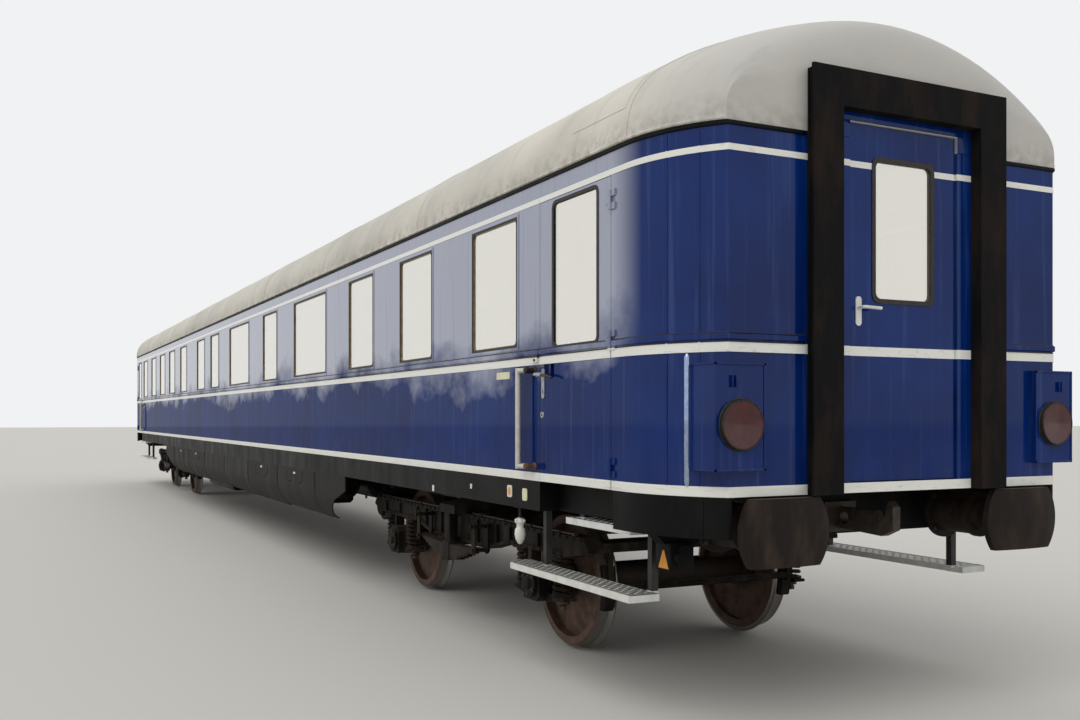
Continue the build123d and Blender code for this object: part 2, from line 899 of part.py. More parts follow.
def make_tanks():
    """Air tanks with rounded ends, each held up by two straps."""
    pieces = []
    for x, half, y in tanks:
        z = sole_bottom_z - tank_radius - equipment_chamfer
        tank = rod_x(tank_radius, x - half, x + half, -y, z)
        tank = chamfer(tank.edges().filter_by(GeomType.CIRCLE), tank_radius * 0.3)
        for way in (-1, 1):
            middle = x + way * half / 2
            width = equipment_chamfer / 2
            strap = block(middle - width, middle + width, -y - tank_radius, -y + tank_radius, z, body_bottom_z)
            tank += strap
        pieces += on_sides(tank)
    return pieces


nodes["underfloor_boxes"] = make_boxes() + make_tanks()


# Side doors

def make_door_leaf():
    """The front right door leaf, with its window hole and handle pocket."""
    x0 = door_inner_x + door_gap
    x1 = door_edge_x - door_gap
    y0 = -half_width
    leaf = block(x0, x1, y0, y0 + leaf_depth, body_bottom_z + door_gap, door_head_z - door_gap)
    hole_x1 = door_edge_x - door_window_edge
    hole_x0 = hole_x1 - door_window_width
    leaf -= block(hole_x0, hole_x1, y0 - 1, y0 + leaf_depth + 1, window_bottom_z, door_window_top_z)
    pocket_x = x0 + pocket_edge
    pocket_top = pocket_bottom_z + pocket_height
    leaf -= block(pocket_x, pocket_x + pocket_width, y0 - 1, y0 + pocket_depth, pocket_bottom_z, pocket_top)
    bar_x = pocket_x + (pocket_width - handle_width) / 2
    bar_y = y0 + (pocket_depth - handle_thickness) / 2
    handle = block(
        bar_x, bar_x + handle_width, bar_y, bar_y + handle_thickness,
        pocket_bottom_z - handle_overlap, pocket_top + handle_overlap)
    _, knuckles = hinge_parts(hinge_x, hinge_y, side_hinge_heights, 1)
    return fused([leaf + handle] + knuckles)


def make_door_glass():
    """The pane of the front right door."""
    x1 = door_edge_x - door_window_edge
    y0 = -half_width + glass_inset
    return block(x1 - door_window_width, x1, y0, y0 + glass_thickness, window_bottom_z, door_window_top_z)


door_leaf = make_door_leaf()
door_glass = make_door_glass()
for sx, sy in corners:
    place = corner_names[(sx, sy)]
    nodes["side_door_" + place] = [at_corner(door_leaf, sx, sy)]
    nodes["side_door_glass_" + place] = [at_corner(door_glass, sx, sy)]


# End doors

def make_end_door():
    """The front end door leaf, with its window hole."""
    half = end_door_opening / 2 - door_gap
    x0 = end_x - wall_thickness + door_gap
    low = floor_z + door_gap
    leaf = block(x0, x0 + end_leaf_depth, -half, half, low, floor_z + end_door_height - door_gap)
    window = end_window_width / 2
    z0 = floor_z + end_window_rise
    leaf -= block(x0 - 1, x0 + end_leaf_depth + 1, -window, window, z0, z0 + end_window_height)
    _, knuckles = hinge_parts(end_hinge_x, end_hinge_y, end_hinge_heights, 0)
    return fused([leaf] + knuckles)


def make_end_glass():
    """The pane of the front end door."""
    half = end_window_width / 2
    x0 = end_x - wall_thickness + door_gap + end_leaf_depth / 2
    z0 = floor_z + end_window_rise
    return block(x0, x0 + glass_thickness, -half, half, z0, z0 + end_window_height)


end_door = make_end_door()
end_glass = make_end_glass()
nodes["end_door_front"] = [end_door]
nodes["end_door_rear"] = [mirror(end_door, about=Plane.YZ)]
nodes["end_door_glass_front"] = [end_glass]
nodes["end_door_glass_rear"] = [mirror(end_glass, about=Plane.YZ)]


# Bogies, drawn about their own pivot

def beam_outline(inset):
    """The side beam's outline, deepest under the bolster, or the outline of its recess when drawn in."""
    top = beam_top_z - inset
    low = beam_bottom_z + inset
    seat = axle_offset + coil_offset + coil_radius + horn_thickness
    right = [(beam_belly_half, low - beam_belly), (beam_shoulder, low), (seat, low)]
    if inset:
        right.append((seat, top))
    else:
        right += [(beam_reach, low + beam_tip), (beam_reach, top - beam_nose), (beam_reach - beam_nose, top)]
    return right + [(-x, z) for x, z in reversed(right)]


def make_bogie_frame():
    """Recessed side beams, end beams, transoms and brake cross bars."""
    inner = journal_y - beam_thickness / 2
    outer = journal_y + beam_thickness / 2
    beam = side_plate(beam_outline(0), -outer, -inner)
    beam -= side_plate(beam_outline(beam_flange), -outer - 1, -outer + beam_recess)
    pieces = on_sides(beam)
    for end in (-1, 1):
        x0, x1 = sorted((end * beam_reach, end * (beam_reach - end_beam_width)))
        pieces.append(block(x0, x1, -inner, inner, beam_bottom_z + beam_tip, beam_top_z - beam_nose / 2))
        x = end * transom_offset
        half = transom_width / 2
        pieces.append(block(x - half, x + half, -inner, inner, beam_top_z - transom_depth, beam_top_z))
        for way in (-1, 1):
            x = end * axle_offset + way * brake_bar_x
            half = brake_bar_size / 2
            low = brake_bar_bottom_z
            pieces.append(block(x - half, x + half, -inner, inner, low, low + brake_bar_size))
    return fused(pieces)


def make_horn_guides():
    """Plates under the side beams that guide the axleboxes."""
    guides = []
    half = beam_thickness / 2 - 20
    near = axlebox_width / 2 + horn_gap
    for axle in (-axle_offset, axle_offset):
        for way in (-1, 1):
            far = near + horn_thickness
            points = [
                (near, axle_z - 20), (far, axle_z - 20), (far + horn_spread, beam_bottom_z), (near, beam_bottom_z),
            ]
            outline = [(axle + way * x, z) for x, z in points]
            guide = side_plate(outline, -journal_y - half, -journal_y + half)
            guides += on_sides(guide)
    return guides


def make_bogie_bolster():
    """The bolster across the frame, with the seat for the pivot."""
    half = bolster_width / 2
    long = bolster_length / 2
    flat = bolster_flat / 2
    right = [(long, beam_top_z), (long, bolster_top_z - bolster_fall), (flat, bolster_top_z)]
    bolster = cross_plate(right + [(-y, z) for y, z in reversed(right)], -half, half)
    foot = block(-half, half, -journal_y + 60, journal_y - 60, beam_top_z - 40, beam_top_z)
    bolster = bolster + foot
    return bolster - rod_z(60 + bearing_gap, 0, 0, beam_top_z - 50, bolster_top_z + 1)


def make_axleboxes():
    """Axleboxes with their spring wings and round covers."""
    boxes = []
    inner = journal_y - journal_length / 2 + bearing_inset
    outer = journal_y + journal_length / 2 + 15
    for x in (-axle_offset, axle_offset):
        half = axlebox_width / 2
        tall = axlebox_height / 2
        box = block(x - half, x + half, -outer, -inner, axle_z - tall, axle_z + tall)
        box = chamfer(box.edges().filter_by(Axis.Y), 40)
        wing = wing_length / 2
        wing_top_z = wing_bottom_z + wing_thickness
        tip_z = wing_top_z - wing_tip
        right = [(x + half, axle_z - tall), (x + wing, tip_z), (x + wing, wing_top_z)]
        left = [(x - wing, wing_top_z), (x - wing, tip_z), (x - half, axle_z - tall)]
        box += side_plate(right + left, -journal_y - 50, -journal_y + 50)
        box += rod_y(axlebox_cover_radius, x, -outer - axlebox_cover_depth, -outer, axle_z)
        box -= rod_y(journal_radius + bearing_gap, x, -outer + 8, -inner + 1, axle_z)
        boxes += on_sides(box)
    return boxes


def make_coil():
    """One coil spring: turns of wire about a core, between two flat seats."""
    low = wing_bottom_z + wing_thickness
    pitch = (beam_bottom_z - low) / coil_turns
    core = coil_radius - coil_wire / 2
    outline = [(0, low), (core, low)]
    for index in range(coil_turns):
        middle = low + (index + 0.5) * pitch
        outline += [(coil_radius, middle), (core, middle + pitch / 2)]
    outline.append((0, beam_bottom_z))
    points = [Vector(radius, 0, z) for radius, z in outline]
    return revolve(Face(Wire(Polyline(*points, close=True).edges())), axis=Axis.Z)


def make_springs():
    """Coil springs that stand on the axlebox wings."""
    coil = make_coil()
    springs = []
    for x in (-axle_offset, axle_offset):
        for way in (-1, 1):
            springs += on_sides(Pos(x + way * coil_offset, -journal_y, 0) * coil)
    return springs


def make_leaf_spring():
    """Bent leaves beside the side beam, hung from it at both ends and buckled under the bolster's end."""
    y1 = -journal_y - beam_thickness / 2 - leaf_gap
    y0 = y1 - leaf_width
    top = beam_bottom_z - 90 + leaf_thickness
    long = leaf_length / 2
    radius = (long ** 2 + leaf_sag ** 2) / (2 * leaf_sag)

    def under(index, x):
        return top - leaf_sag + radius - sqrt((radius + index * leaf_thickness) ** 2 - x ** 2)

    right = [Vector(long, y0, top)]
    for index in range(1, leaf_count + 1):
        half = long - (index - 1) * leaf_step / 2
        right += [Vector(half, y0, under(index, half))]
        if index < leaf_count:
            inner = half - leaf_step / 2
            right += [Vector(inner, y0, under(index, inner))]
    left = [Vector(-point.X, y0, point.Z) for point in reversed(right)]
    arc = ThreePointArc(left[-1], Vector(0, y0, top - leaf_sag), right[0])
    face = Face(Wire([arc.edge(), *Polyline(*right, *left).edges()]))
    pack = extrude(face, amount=leaf_width, dir=(0, 1, 0))
    half = leaf_buckle / 2
    pack += block(-half, half, y0, y1, under(leaf_count, 0), beam_top_z)
    for end in (-1, 1):
        x = end * (long - 50)
        half = leaf_link_width / 2
        pin_z = beam_top_z - 60
        pack += block(x - half, x + half, y0, y1, under(1, long), pin_z)
        pack += rod_y(leaf_pin_radius, x, y0, y1 + leaf_gap + beam_recess, pin_z)
    return pack


def make_brake_gear():
    """Shoe, hanger and cross beam at every wheel, as one frame per brake cross bar."""
    sets = []
    inner_radius = tread_radius + block_gap
    outer_radius = inner_radius + block_thickness
    y_mid = wheel_outer_y - block_width / 2 - 12
    for axle in (-axle_offset, axle_offset):
        for way in (-1, 1):
            ring = Pos(axle, -y_mid, axle_z) * Rot(90, 0, 0) * (
                Cylinder(outer_radius, block_width) - Cylinder(inner_radius, block_width + 2))
            reach = outer_radius * sin(radians(block_angle / 2))
            x0, x1 = sorted((axle, axle + way * (outer_radius + 10)))
            near = -y_mid - block_width
            far = -y_mid + block_width
            shoe = ring & block(x0, x1, near, far, axle_z - reach, axle_z + reach)
            half = hanger_size / 2
            back = axle + way * (outer_radius - 6)
            hx0, hx1 = sorted((back, back + way * hanger_size))
            hanger = block(hx0, hx1, -y_mid - half, -y_mid + half, axle_z - 40, brake_bar_bottom_z)
            pair = fused(on_sides(shoe + hanger))
            beam = rod_y(24, (hx0 + hx1) / 2, -y_mid, y_mid, axle_z)
            sets.append(pair + beam)
    return sets


def make_generator():
    """The axle driven generator on the inner end of the front bogie."""
    x = -(beam_reach + generator_gap + generator_radius)
    z = beam_bottom_z + generator_gap
    half = generator_length / 2
    body = rod_y(generator_radius, x, generator_y - half, generator_y + half, z)
    body += rod_y(generator_radius - 50, x, generator_y - half - 40, generator_y + half + 60, z)
    body += block(x, -beam_reach, generator_y - 150, generator_y - 90, z - 20, z + 90)
    body += block(x, -beam_reach, generator_y + 90, generator_y + 150, z - 20, z + 90)
    return body


def make_wheelset():
    """An axle with its two wheels, turned as one piece about Y."""
    hub_in = wheel_inner_y + rim_width / 2 - hub_length / 2
    hub_out = hub_in + hub_length
    rim_radius = tread_radius - rim_depth
    web = wheel_inner_y + rim_width / 2
    journal_in = journal_y - journal_length / 2
    journal_out = journal_y + journal_length / 2
    # One half of the outline: radius, distance from the middle of the axle
    half = [
        (axle_radius, hub_in), (hub_radius, hub_in), (hub_radius, web + web_dish - web_thickness),
        (rim_radius, web - web_thickness), (rim_radius, wheel_inner_y), (tread_radius + 18, wheel_inner_y),
        (tread_radius + flange_height, wheel_inner_y + 11), (tread_radius + flange_height, wheel_inner_y + 17),
        (tread_radius + 12, wheel_inner_y + 30), (tread_radius, wheel_inner_y + 45),
        (tread_radius - 4, wheel_outer_y - 8), (tread_radius - 12, wheel_outer_y), (rim_radius, wheel_outer_y),
        (rim_radius, web), (hub_radius, web + web_dish), (hub_radius, hub_out), (axle_radius, hub_out),
        (axle_radius, journal_in - 10), (journal_radius, journal_in), (journal_radius, journal_out),
        (0, journal_out),
    ]
    other = [(radius, -y) for radius, y in reversed(half)]
    outline = [Vector(radius, y, 0) for radius, y in half + other]
    face = Face(Wire(Polyline(*outline, close=True).edges()))
    return revolve(face, axis=Axis.Y)


bogie_frame = make_bogie_frame()
horn_guides = make_horn_guides()
bogie_bolster = make_bogie_bolster()
leaf_springs = on_sides(make_leaf_spring())
axleboxes = make_axleboxes()
springs = make_springs()
brake_gear = make_brake_gear()
wheelset = make_wheelset()
for name, sign in (("front", 1), ("rear", -1)):
    place = Pos(sign * pivot_x, 0, 0)
    nodes["bogie_frame_" + name] = [place * bogie_frame]
    nodes["horn_guides_" + name] = [place * piece for piece in horn_guides]
    nodes["bogie_bolster_" + name] = [place * bogie_bolster]
    nodes["axleboxes_" + name] = [place * piece for piece in axleboxes]
    nodes["coil_springs_" + name] = [place * piece for piece in springs]
    nodes["leaf_springs_" + name] = [place * piece for piece in leaf_springs]
    nodes["brake_gear_" + name] = [place * piece for piece in brake_gear]
    for end, offset in (("outer", axle_offset), ("inner", -axle_offset)):
        x = sign * (pivot_x + offset)
        nodes["wheelset_" + name + "_" + end] = [Pos(x, 0, axle_z) * wheelset]
nodes["generator"] = [Pos(pivot_x, 0, 0) * make_generator()]

for name, pieces in nodes.items():
    shape = pieces[0] if len(pieces) == 1 else Compound(children=pieces)
    export_step(shape, "parts/" + name + ".step")
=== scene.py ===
import math

import bmesh
import bpy
from mathutils import Matrix, Vector


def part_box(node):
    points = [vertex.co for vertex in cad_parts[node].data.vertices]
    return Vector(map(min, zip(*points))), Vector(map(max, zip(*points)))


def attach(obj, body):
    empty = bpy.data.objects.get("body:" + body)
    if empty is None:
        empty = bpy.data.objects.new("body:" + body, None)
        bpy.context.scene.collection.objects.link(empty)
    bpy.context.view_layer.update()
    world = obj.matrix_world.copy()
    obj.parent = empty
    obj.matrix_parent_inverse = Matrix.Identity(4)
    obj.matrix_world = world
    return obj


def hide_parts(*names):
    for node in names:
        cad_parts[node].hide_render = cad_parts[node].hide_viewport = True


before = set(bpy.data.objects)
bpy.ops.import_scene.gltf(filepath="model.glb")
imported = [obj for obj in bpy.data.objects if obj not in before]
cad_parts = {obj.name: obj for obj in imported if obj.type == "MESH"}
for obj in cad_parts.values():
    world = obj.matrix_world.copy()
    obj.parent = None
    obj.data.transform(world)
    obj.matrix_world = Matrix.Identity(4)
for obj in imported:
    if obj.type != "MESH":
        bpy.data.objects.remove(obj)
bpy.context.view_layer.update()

print("frame loaded")

# measures that several pieces share, in metres, read from the frame where it holds them
halfWidth = -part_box("side_wall_right")[0].y
doorEdgeX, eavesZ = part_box("cantrails")[1].x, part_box("cantrails")[1].z
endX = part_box("end_wall_front")[1].x
doorLowZ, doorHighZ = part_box("side_door_front_right")[0].z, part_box("side_door_front_right")[1].z
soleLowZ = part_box("underframe")[0].z
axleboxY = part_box("axleboxes_front")[1].y
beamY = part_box("bogie_frame_front")[1].y
axleLow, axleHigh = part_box("wheelset_front_outer")
innerLow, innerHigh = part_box("wheelset_front_inner")
axlePlaces = [(axleLow.x + axleHigh.x) / 2, (innerLow.x + innerHigh.x) / 2]
axleZ = (axleLow.z + axleHigh.z) / 2
pivotX = (axlePlaces[0] + axlePlaces[1]) / 2
flangeHeight = 0.028
treadRadius = (axleHigh.z - axleLow.z) / 2 - flangeHeight
cornerX = doorEdgeX + 0.15          # where the straight side starts to bend
cornerRadius = 0.923
corners = [(1, -1), (1, 1), (-1, -1), (-1, 1)]
cornerNames = {(1, -1): "front_right", (1, 1): "front_left", (-1, -1): "rear_right", (-1, 1): "rear_left"}
bogies = [(1, "bogie_front"), (-1, "bogie_rear")]


def linear(hexColour):
    values = [int(hexColour[i:i + 2], 16) / 255 for i in (1, 3, 5)]
    return [v / 12.92 if v <= 0.04045 else ((v + 0.055) / 1.055) ** 2.4 for v in values] + [1.0]


def addNode(tree, kind, links=(), feeds=None, **settings):
    # kind: shader nodes go without the start of their names
    # links: values, outputs or nodes (their first output) for the sockets in order, or by name or number
    # feeds: the socket that the node's first output goes to
    node = tree.nodes.new(kind if "Node" in kind else "ShaderNode" + kind)
    for key, value in settings.items():
        setattr(node, key, value)
    for key, value in (links if isinstance(links, dict) else dict(enumerate(links))).items():
        value = value.outputs[0] if isinstance(value, bpy.types.Node) else value
        if isinstance(value, bpy.types.NodeSocket):
            tree.links.new(value, node.inputs[key])
        else:
            node.inputs[key].default_value = value
    if feeds:
        tree.links.new(node.outputs[0], feeds)
    return node


# camera, floor and light

cameraSettings = {
    "place": (17.03, -4.482, 1.689),    # a person's eye height, close to the near corner of the coach
    "direction": (-0.8947, 0.4467, 0),
    "lens": 35.79,
    "sensor": 36,
    "shiftY": 0.052,                    # the horizon lies 56 pixels under the middle of the 1080 wide frame
    "reach": 500,
}
lightSettings = {
    "skyColour": "#F1F2F3",
    "skyStrength": 0.86,
    "sunStrength": 0.9,
    "sunAngle": 50,                     # degrees across, wide enough for soft shadows
    "sunPlace": (6, -9, 14),
    "floorColour": "#C9C6BF",
    "floorHalf": 160,
}


def placeInScene(name, data, aim=None, front="-Z", place=(0, 0, 0)):
    # links data to the scene; aim turns its front axis that way
    holder = bpy.data.objects.new(name, data)
    if aim:
        holder.location = place
        holder.rotation_mode = "QUATERNION"
        holder.rotation_quaternion = Vector(aim).to_track_quat(front, "Y")
    bpy.context.scene.collection.objects.link(holder)
    return holder


def makeCamera():
    camera = bpy.data.cameras.new("camera")
    camera.lens = cameraSettings["lens"]
    camera.sensor_width = cameraSettings["sensor"]
    camera.shift_y = cameraSettings["shiftY"]
    camera.clip_end = cameraSettings["reach"]
    bpy.context.scene.camera = placeInScene("camera", camera, cameraSettings["direction"],
                                            place=cameraSettings["place"])


def makeLight():
    # the sky lights the coach a little less than the white that camera, gloss and glass see
    world = bpy.data.worlds.new("studio sky")
    bpy.context.scene.world = world
    world.use_nodes = True
    tree = world.node_tree
    tree.nodes.clear()
    seen = addNode(tree, "LightPath").outputs
    direct = addNode(tree, "Math", [seen["Is Camera Ray"], seen["Is Glossy Ray"]], operation="MAXIMUM")
    through = addNode(tree, "Math", [direct, seen["Is Transmission Ray"]], operation="MAXIMUM")
    colour = linear(lightSettings["skyColour"])
    lamp = addNode(tree, "Background", {"Color": colour, "Strength": lightSettings["skyStrength"]})
    backdrop = addNode(tree, "Background", {"Color": colour, "Strength": 1.0})
    mixed = addNode(tree, "MixShader", [through, lamp, backdrop])
    addNode(tree, "OutputWorld", [mixed])
    sun = bpy.data.lights.new("soft sun", "SUN")
    sun.energy = lightSettings["sunStrength"]
    sun.angle = math.radians(lightSettings["sunAngle"])
    placeInScene("soft sun", sun, lightSettings["sunPlace"], "Z")


def makeFloor():
    half = lightSettings["floorHalf"]
    mesh = bpy.data.meshes.new("studio_floor")
    square = [(-half, -half, 0), (half, -half, 0), (half, half, 0), (-half, half, 0)]
    mesh.from_pydata(square, [], [(0, 1, 2, 3)])
    material = bpy.data.materials.new("studio floor")
    material.use_nodes = True
    shader = material.node_tree.nodes["Principled BSDF"]
    shader.inputs["Base Color"].default_value = linear(lightSettings["floorColour"])
    shader.inputs["Roughness"].default_value = 0.9
    mesh.materials.append(material)
    placeInScene("studio_floor", mesh)


bpy.context.scene.view_settings.view_transform = "Standard"
makeCamera()
makeLight()
makeFloor()
print("camera, light and floor made")


# materials

def newMaterial(name, colour, roughness=0.5, metallic=0.0, more=()):
    # hands back the material, its tree, its shader's inputs and the object coordinates
    material = bpy.data.materials.new(name)
    material.use_nodes = True
    tree = material.node_tree
    inputs = tree.nodes["Principled BSDF"].inputs
    given = [("Base Color", linear(colour)), ("Roughness", roughness), ("Metallic", metallic), *more]
    for socket, value in given:
        inputs[socket].default_value = value
    return material, tree, inputs, addNode(tree, "TexCoord").outputs["Object"]


def mottle(tree, place, millimetres, stretch=(1, 1, 1), detail=4.0, seed=0.0, low=0.0, high=1.0):
    # clouds about that many millimetres across, 0 where they are under low and 1 where they are over high
    spot = addNode(tree, "Mapping", {"Vector": place, "Scale": stretch, "Location": (seed, seed, seed)})
    cloud = addNode(tree, "TexNoise", {
        "Vector": spot, "Scale": 1000 / millimetres, "Detail": detail, "Roughness": 0.6})
    return addNode(tree, "MapRange", [cloud, low, high, 0.0, 1.0])


def layer(tree, under, over, value, low=0.0, high=1.0, most=1.0):
    # lays one colour over another as value runs from low to high; colours are hex strings or outputs
    share = addNode(tree, "MapRange", [value, low, high, 0.0, most])
    under, over = [linear(c) if isinstance(c, str) else c for c in (under, over)]
    mixed = addNode(tree, "Mix", {0: share, 6: under, 7: over}, data_type="RGBA")
    return mixed.outputs[2]


def relief(tree, inputs, place, millimetres, strength, *clouds):
    # raises the surface by that much in all; clouds: each one's share and what mottle takes
    height = 0.0
    for share, *cloud in clouds:
        scaled = [mottle(tree, place, *cloud), share, height]
        height = addNode(tree, "Math", scaled, operation="MULTIPLY_ADD")
    bump = {"Height": height, "Distance": millimetres / 1000, "Strength": strength}
    addNode(tree, "Bump", bump, inputs["Normal"])


enamelColours = {
    "blue": "#04296A",
    "blueDeep": "#021D56",
    "paintedSkyReflection": "#A0A5B7",        # painted reflection of the pale sky on the flat side beside the windows
    "white": "#E4E4DD",
    "dust": "#7A7468",
    "streak": "#40588C",
    "worn": "#9A9CA0",
}
enamelSettings = {
    # heights in metres at which the livery changes: bottom of each band, and 1 where it is white
    "bands": [(0.0, 1), (1.323, 0), (2.015, 1), (2.060, 0), (3.039, 1), (3.065, 0)],
    "bandSpan": (1.2, 3.4),
    "reflectionFrom": (2.42, 2.78),   # height plus a cloud, where the painted sky reflection begins and where it is full
    "reflectionEnd": (0.3, 0.01),     # past the door's hinge edge, where it is gone and where it is still full
    "dustFoot": (1.6, 1.27),
}


def glossEnamel():
    # long-oil enamel on steel sheet: deep gloss over slightly wavy panels, a painted reflection of the pale
    # sky above, streaked below
    # its clear top coat is whole beside the windows, where it mirrors the sky, and thin lower down
    material, tree, inputs, place = newMaterial(
        "gloss enamel on steel", enamelColours["blue"], 0.2,
        more=[("Coat IOR", 2.0), ("Coat Roughness", 0.05), ("Specular IOR Level", 0.0)])
    spot = addNode(tree, "SeparateXYZ", [place]).outputs
    far, aside = [addNode(tree, "Math", [spot[axis]], operation="ABSOLUTE") for axis in "XY"]
    low, high = enamelSettings["bandSpan"]
    level = addNode(tree, "MapRange", [spot["Z"], low, high, 0.0, 1.0])
    stripe = addNode(tree, "ValToRGB", [level])
    ramp = stripe.color_ramp
    ramp.interpolation = "CONSTANT"
    for index, (start, white) in enumerate(enamelSettings["bands"]):
        at = max(0.0, (start - low) / (high - low))
        step = ramp.elements[index] if index < 2 else ramp.elements.new(at)
        step.position = at
        step.color = (white, white, white, 1)
    tone = layer(tree, enamelColours["blueDeep"], enamelColours["blue"], mottle(tree, place, 900), 0.35, 0.65)
    # painted reflection of the bright sky: a pale tone on the flat side from the middle of the window band
    # up, ending past the door's hinge edge
    cloud = mottle(tree, place, 700, (1, 1, 1.3), 6.0, 3.0)
    raised = addNode(tree, "Math", [spot["Z"], cloud], operation="ADD")
    above = addNode(tree, "MapRange", [raised, *enamelSettings["reflectionFrom"], 0.0, 1.0])
    gone, full = [doorEdgeX + past for past in enamelSettings["reflectionEnd"]]
    along = addNode(tree, "MapRange", [far, gone, full, 0.0, 1.0])
    skyReflectionBand = addNode(tree, "Math", [above, along], operation="MULTIPLY")
    skin = addNode(tree, "MapRange", [aside, halfWidth - 0.06, halfWidth - 0.003, 0.05, 0.72])
    paintedReflection = addNode(tree, "Math", [skyReflectionBand, skin], operation="MULTIPLY")
    tone = layer(tree, tone, enamelColours["paintedSkyReflection"], paintedReflection)
    runs = mottle(tree, place, 55, (1, 1, 0.035), 5.0, 7.0)
    tone = layer(tree, tone, enamelColours["streak"], runs, 0.55, 0.76, 0.42)
    rubbed = mottle(tree, place, 45, (0.12, 1, 3), 6.0, 13.0)
    white = layer(tree, enamelColours["white"], enamelColours["worn"], rubbed, 0.57, 0.72, 0.4)
    bands = layer(tree, tone, white, stripe)
    specks = mottle(tree, place, 120, (1, 1, 0.4), 8.0, 5.0)
    thick = addNode(tree, "MapRange", [specks, 0.35, 0.75, 0.0, 1.0])
    foot = addNode(tree, "MapRange", [spot["Z"], *enamelSettings["dustFoot"], 0.0, 0.08])
    dirty = addNode(tree, "Math", [thick, foot], operation="MULTIPLY")
    tree.links.new(layer(tree, bands, enamelColours["dust"], dirty), inputs["Base Color"])
    addNode(tree, "MapRange", [specks, 0.3, 0.8, 0.1, 0.3], inputs["Roughness"])
    outer = addNode(tree, "MapRange", [aside, halfWidth - 0.03, halfWidth - 0.003, 0.0, 1.0])
    gloss = addNode(tree, "Math", [skyReflectionBand, outer], operation="MULTIPLY")
    addNode(tree, "MapRange", [gloss, 0.0, 1.0, 0.2, 1.0], inputs["Coat Weight"])
    relief(tree, inputs, place, 9, 0.5, (1, 620, (1, 1, 0.7), 2.0, 11.0), (0.04, 30, (1, 1, 1), 3.0, 2.0))
    return material


roofColours = {"sunny": "#D3CEC3", "shade": "#B9B5AB", "stain": "#97938A", "dome": "#B4B2AE"}


def roofLacquer():
    # thick bitumen-based roof lacquer: dull, patchy, stained in runs, dirty at the eaves, greyer at the domes
    material, tree, inputs, place = newMaterial("weathered roof lacquer", roofColours["sunny"], 0.72)
    spot = addNode(tree, "SeparateXYZ", [place]).outputs
    far = addNode(tree, "Math", [spot["X"]], operation="ABSOLUTE")
    patches = mottle(tree, place, 1300, (1, 1, 1), 6.0, 1.0)
    tone = layer(tree, roofColours["sunny"], roofColours["shade"], patches, 0.35, 0.68)
    tone = layer(tree, tone, roofColours["dome"], far, endX - 0.75, endX - 0.05, 0.75)
    runs = mottle(tree, place, 130, (1, 0.12, 0.12), 6.0, 9.0)
    tone = layer(tree, tone, roofColours["stain"], runs, 0.55, 0.75, 0.45)
    eaves = addNode(tree, "MapRange", [spot["Z"], eavesZ + 0.16, eavesZ + 0.01, 0.0, 1.0])
    moss = mottle(tree, place, 70, (1, 1, 1), 6.0, 4.0, 0.42, 0.6)
    rim = addNode(tree, "Math", [eaves, moss], operation="MULTIPLY")
    tree.links.new(layer(tree, tone, roofColours["stain"], rim, most=0.6), inputs["Base Color"])
    relief(tree, inputs, place, 7, 0.6, (1, 240, (1, 1, 1), 3.0, 6.0), (0.25, 16, (1, 1, 1), 6.0, 2.0))
    return material


def dustyBlack(name, paint, dust, millimetres, roughness=0.5, share=0.5, metallic=0.0):
    # black chassis paint with road dust lying in blotches and runs, and thick on what faces up
    material, tree, inputs, place = newMaterial(
        name, paint, roughness, metallic, [("Specular IOR Level", 0.12)])
    blotch = mottle(tree, place, millimetres, (1, 1, 0.35), 7.0, 1.5)
    tone = layer(tree, paint, dust, blotch, 0.45, 0.78, share)
    facing = addNode(tree, "NewGeometry").outputs["Normal"]
    upward = addNode(tree, "SeparateXYZ", [facing]).outputs["Z"]
    tree.links.new(layer(tree, tone, dust, upward, 0.6, 1.0, 0.75), inputs["Base Color"])
    dull = [blotch, 0.3, 0.8, roughness, min(1.0, roughness + 0.3)]
    addNode(tree, "MapRange", dull, inputs["Roughness"])
    relief(tree, inputs, place, 1.5, 0.45, (1, millimetres / 8, (1, 1, 1), 5.0, 8.0))
    return material


wheelColours = {"rust": "#4B372D", "rustPale": "#6B5140", "grease": "#1E1A17", "tread": "#8C8A86"}


def wheelSteel():
    # rolled steel: rusty disc, greasy hub, tread rubbed bright by the rail
    material, tree, inputs, place = newMaterial("rolled wheel steel", wheelColours["rust"])
    spot = addNode(tree, "SeparateXYZ", [place]).outputs
    far = addNode(tree, "Math", [spot["X"]], operation="ABSOLUTE")
    gaps = []
    for axle in axlePlaces:
        gap = addNode(tree, "Math", [far, axle], operation="SUBTRACT")
        gaps.append(addNode(tree, "Math", [gap], operation="ABSOLUTE"))
    nearest = addNode(tree, "Math", gaps, operation="MINIMUM")
    high = addNode(tree, "Math", [spot["Z"], axleZ], operation="SUBTRACT")
    away = addNode(tree, "CombineXYZ", [nearest, 0.0, high])
    radius = addNode(tree, "VectorMath", [away], operation="LENGTH").outputs["Value"]
    blotch = mottle(tree, place, 90, (1, 1, 1), 8.0, 2.0)
    tone = layer(tree, wheelColours["rust"], wheelColours["rustPale"], blotch, 0.4, 0.7)
    tone = layer(tree, tone, wheelColours["grease"], radius, 0.20, 0.13, 0.8)
    rubbed = (treadRadius - 0.006, treadRadius - 0.001)
    tree.links.new(layer(tree, tone, wheelColours["tread"], radius, *rubbed), inputs["Base Color"])
    for socket, rusty, bright in (("Roughness", 0.68, 0.28), ("Metallic", 0.3, 0.95)):
        addNode(tree, "MapRange", [radius, *rubbed, rusty, bright], inputs[socket])
    relief(tree, inputs, place, 1.2, 0.4, (1, 14, (1, 1, 1), 5.0, 4.0))
    return material


chequerColours = {
    "plate": ("#8E8D86", "#B0AFA8"), "edge": ("#DADBD8", "#A7A29A"), "post": ("#141312", "#2B2723"),
}


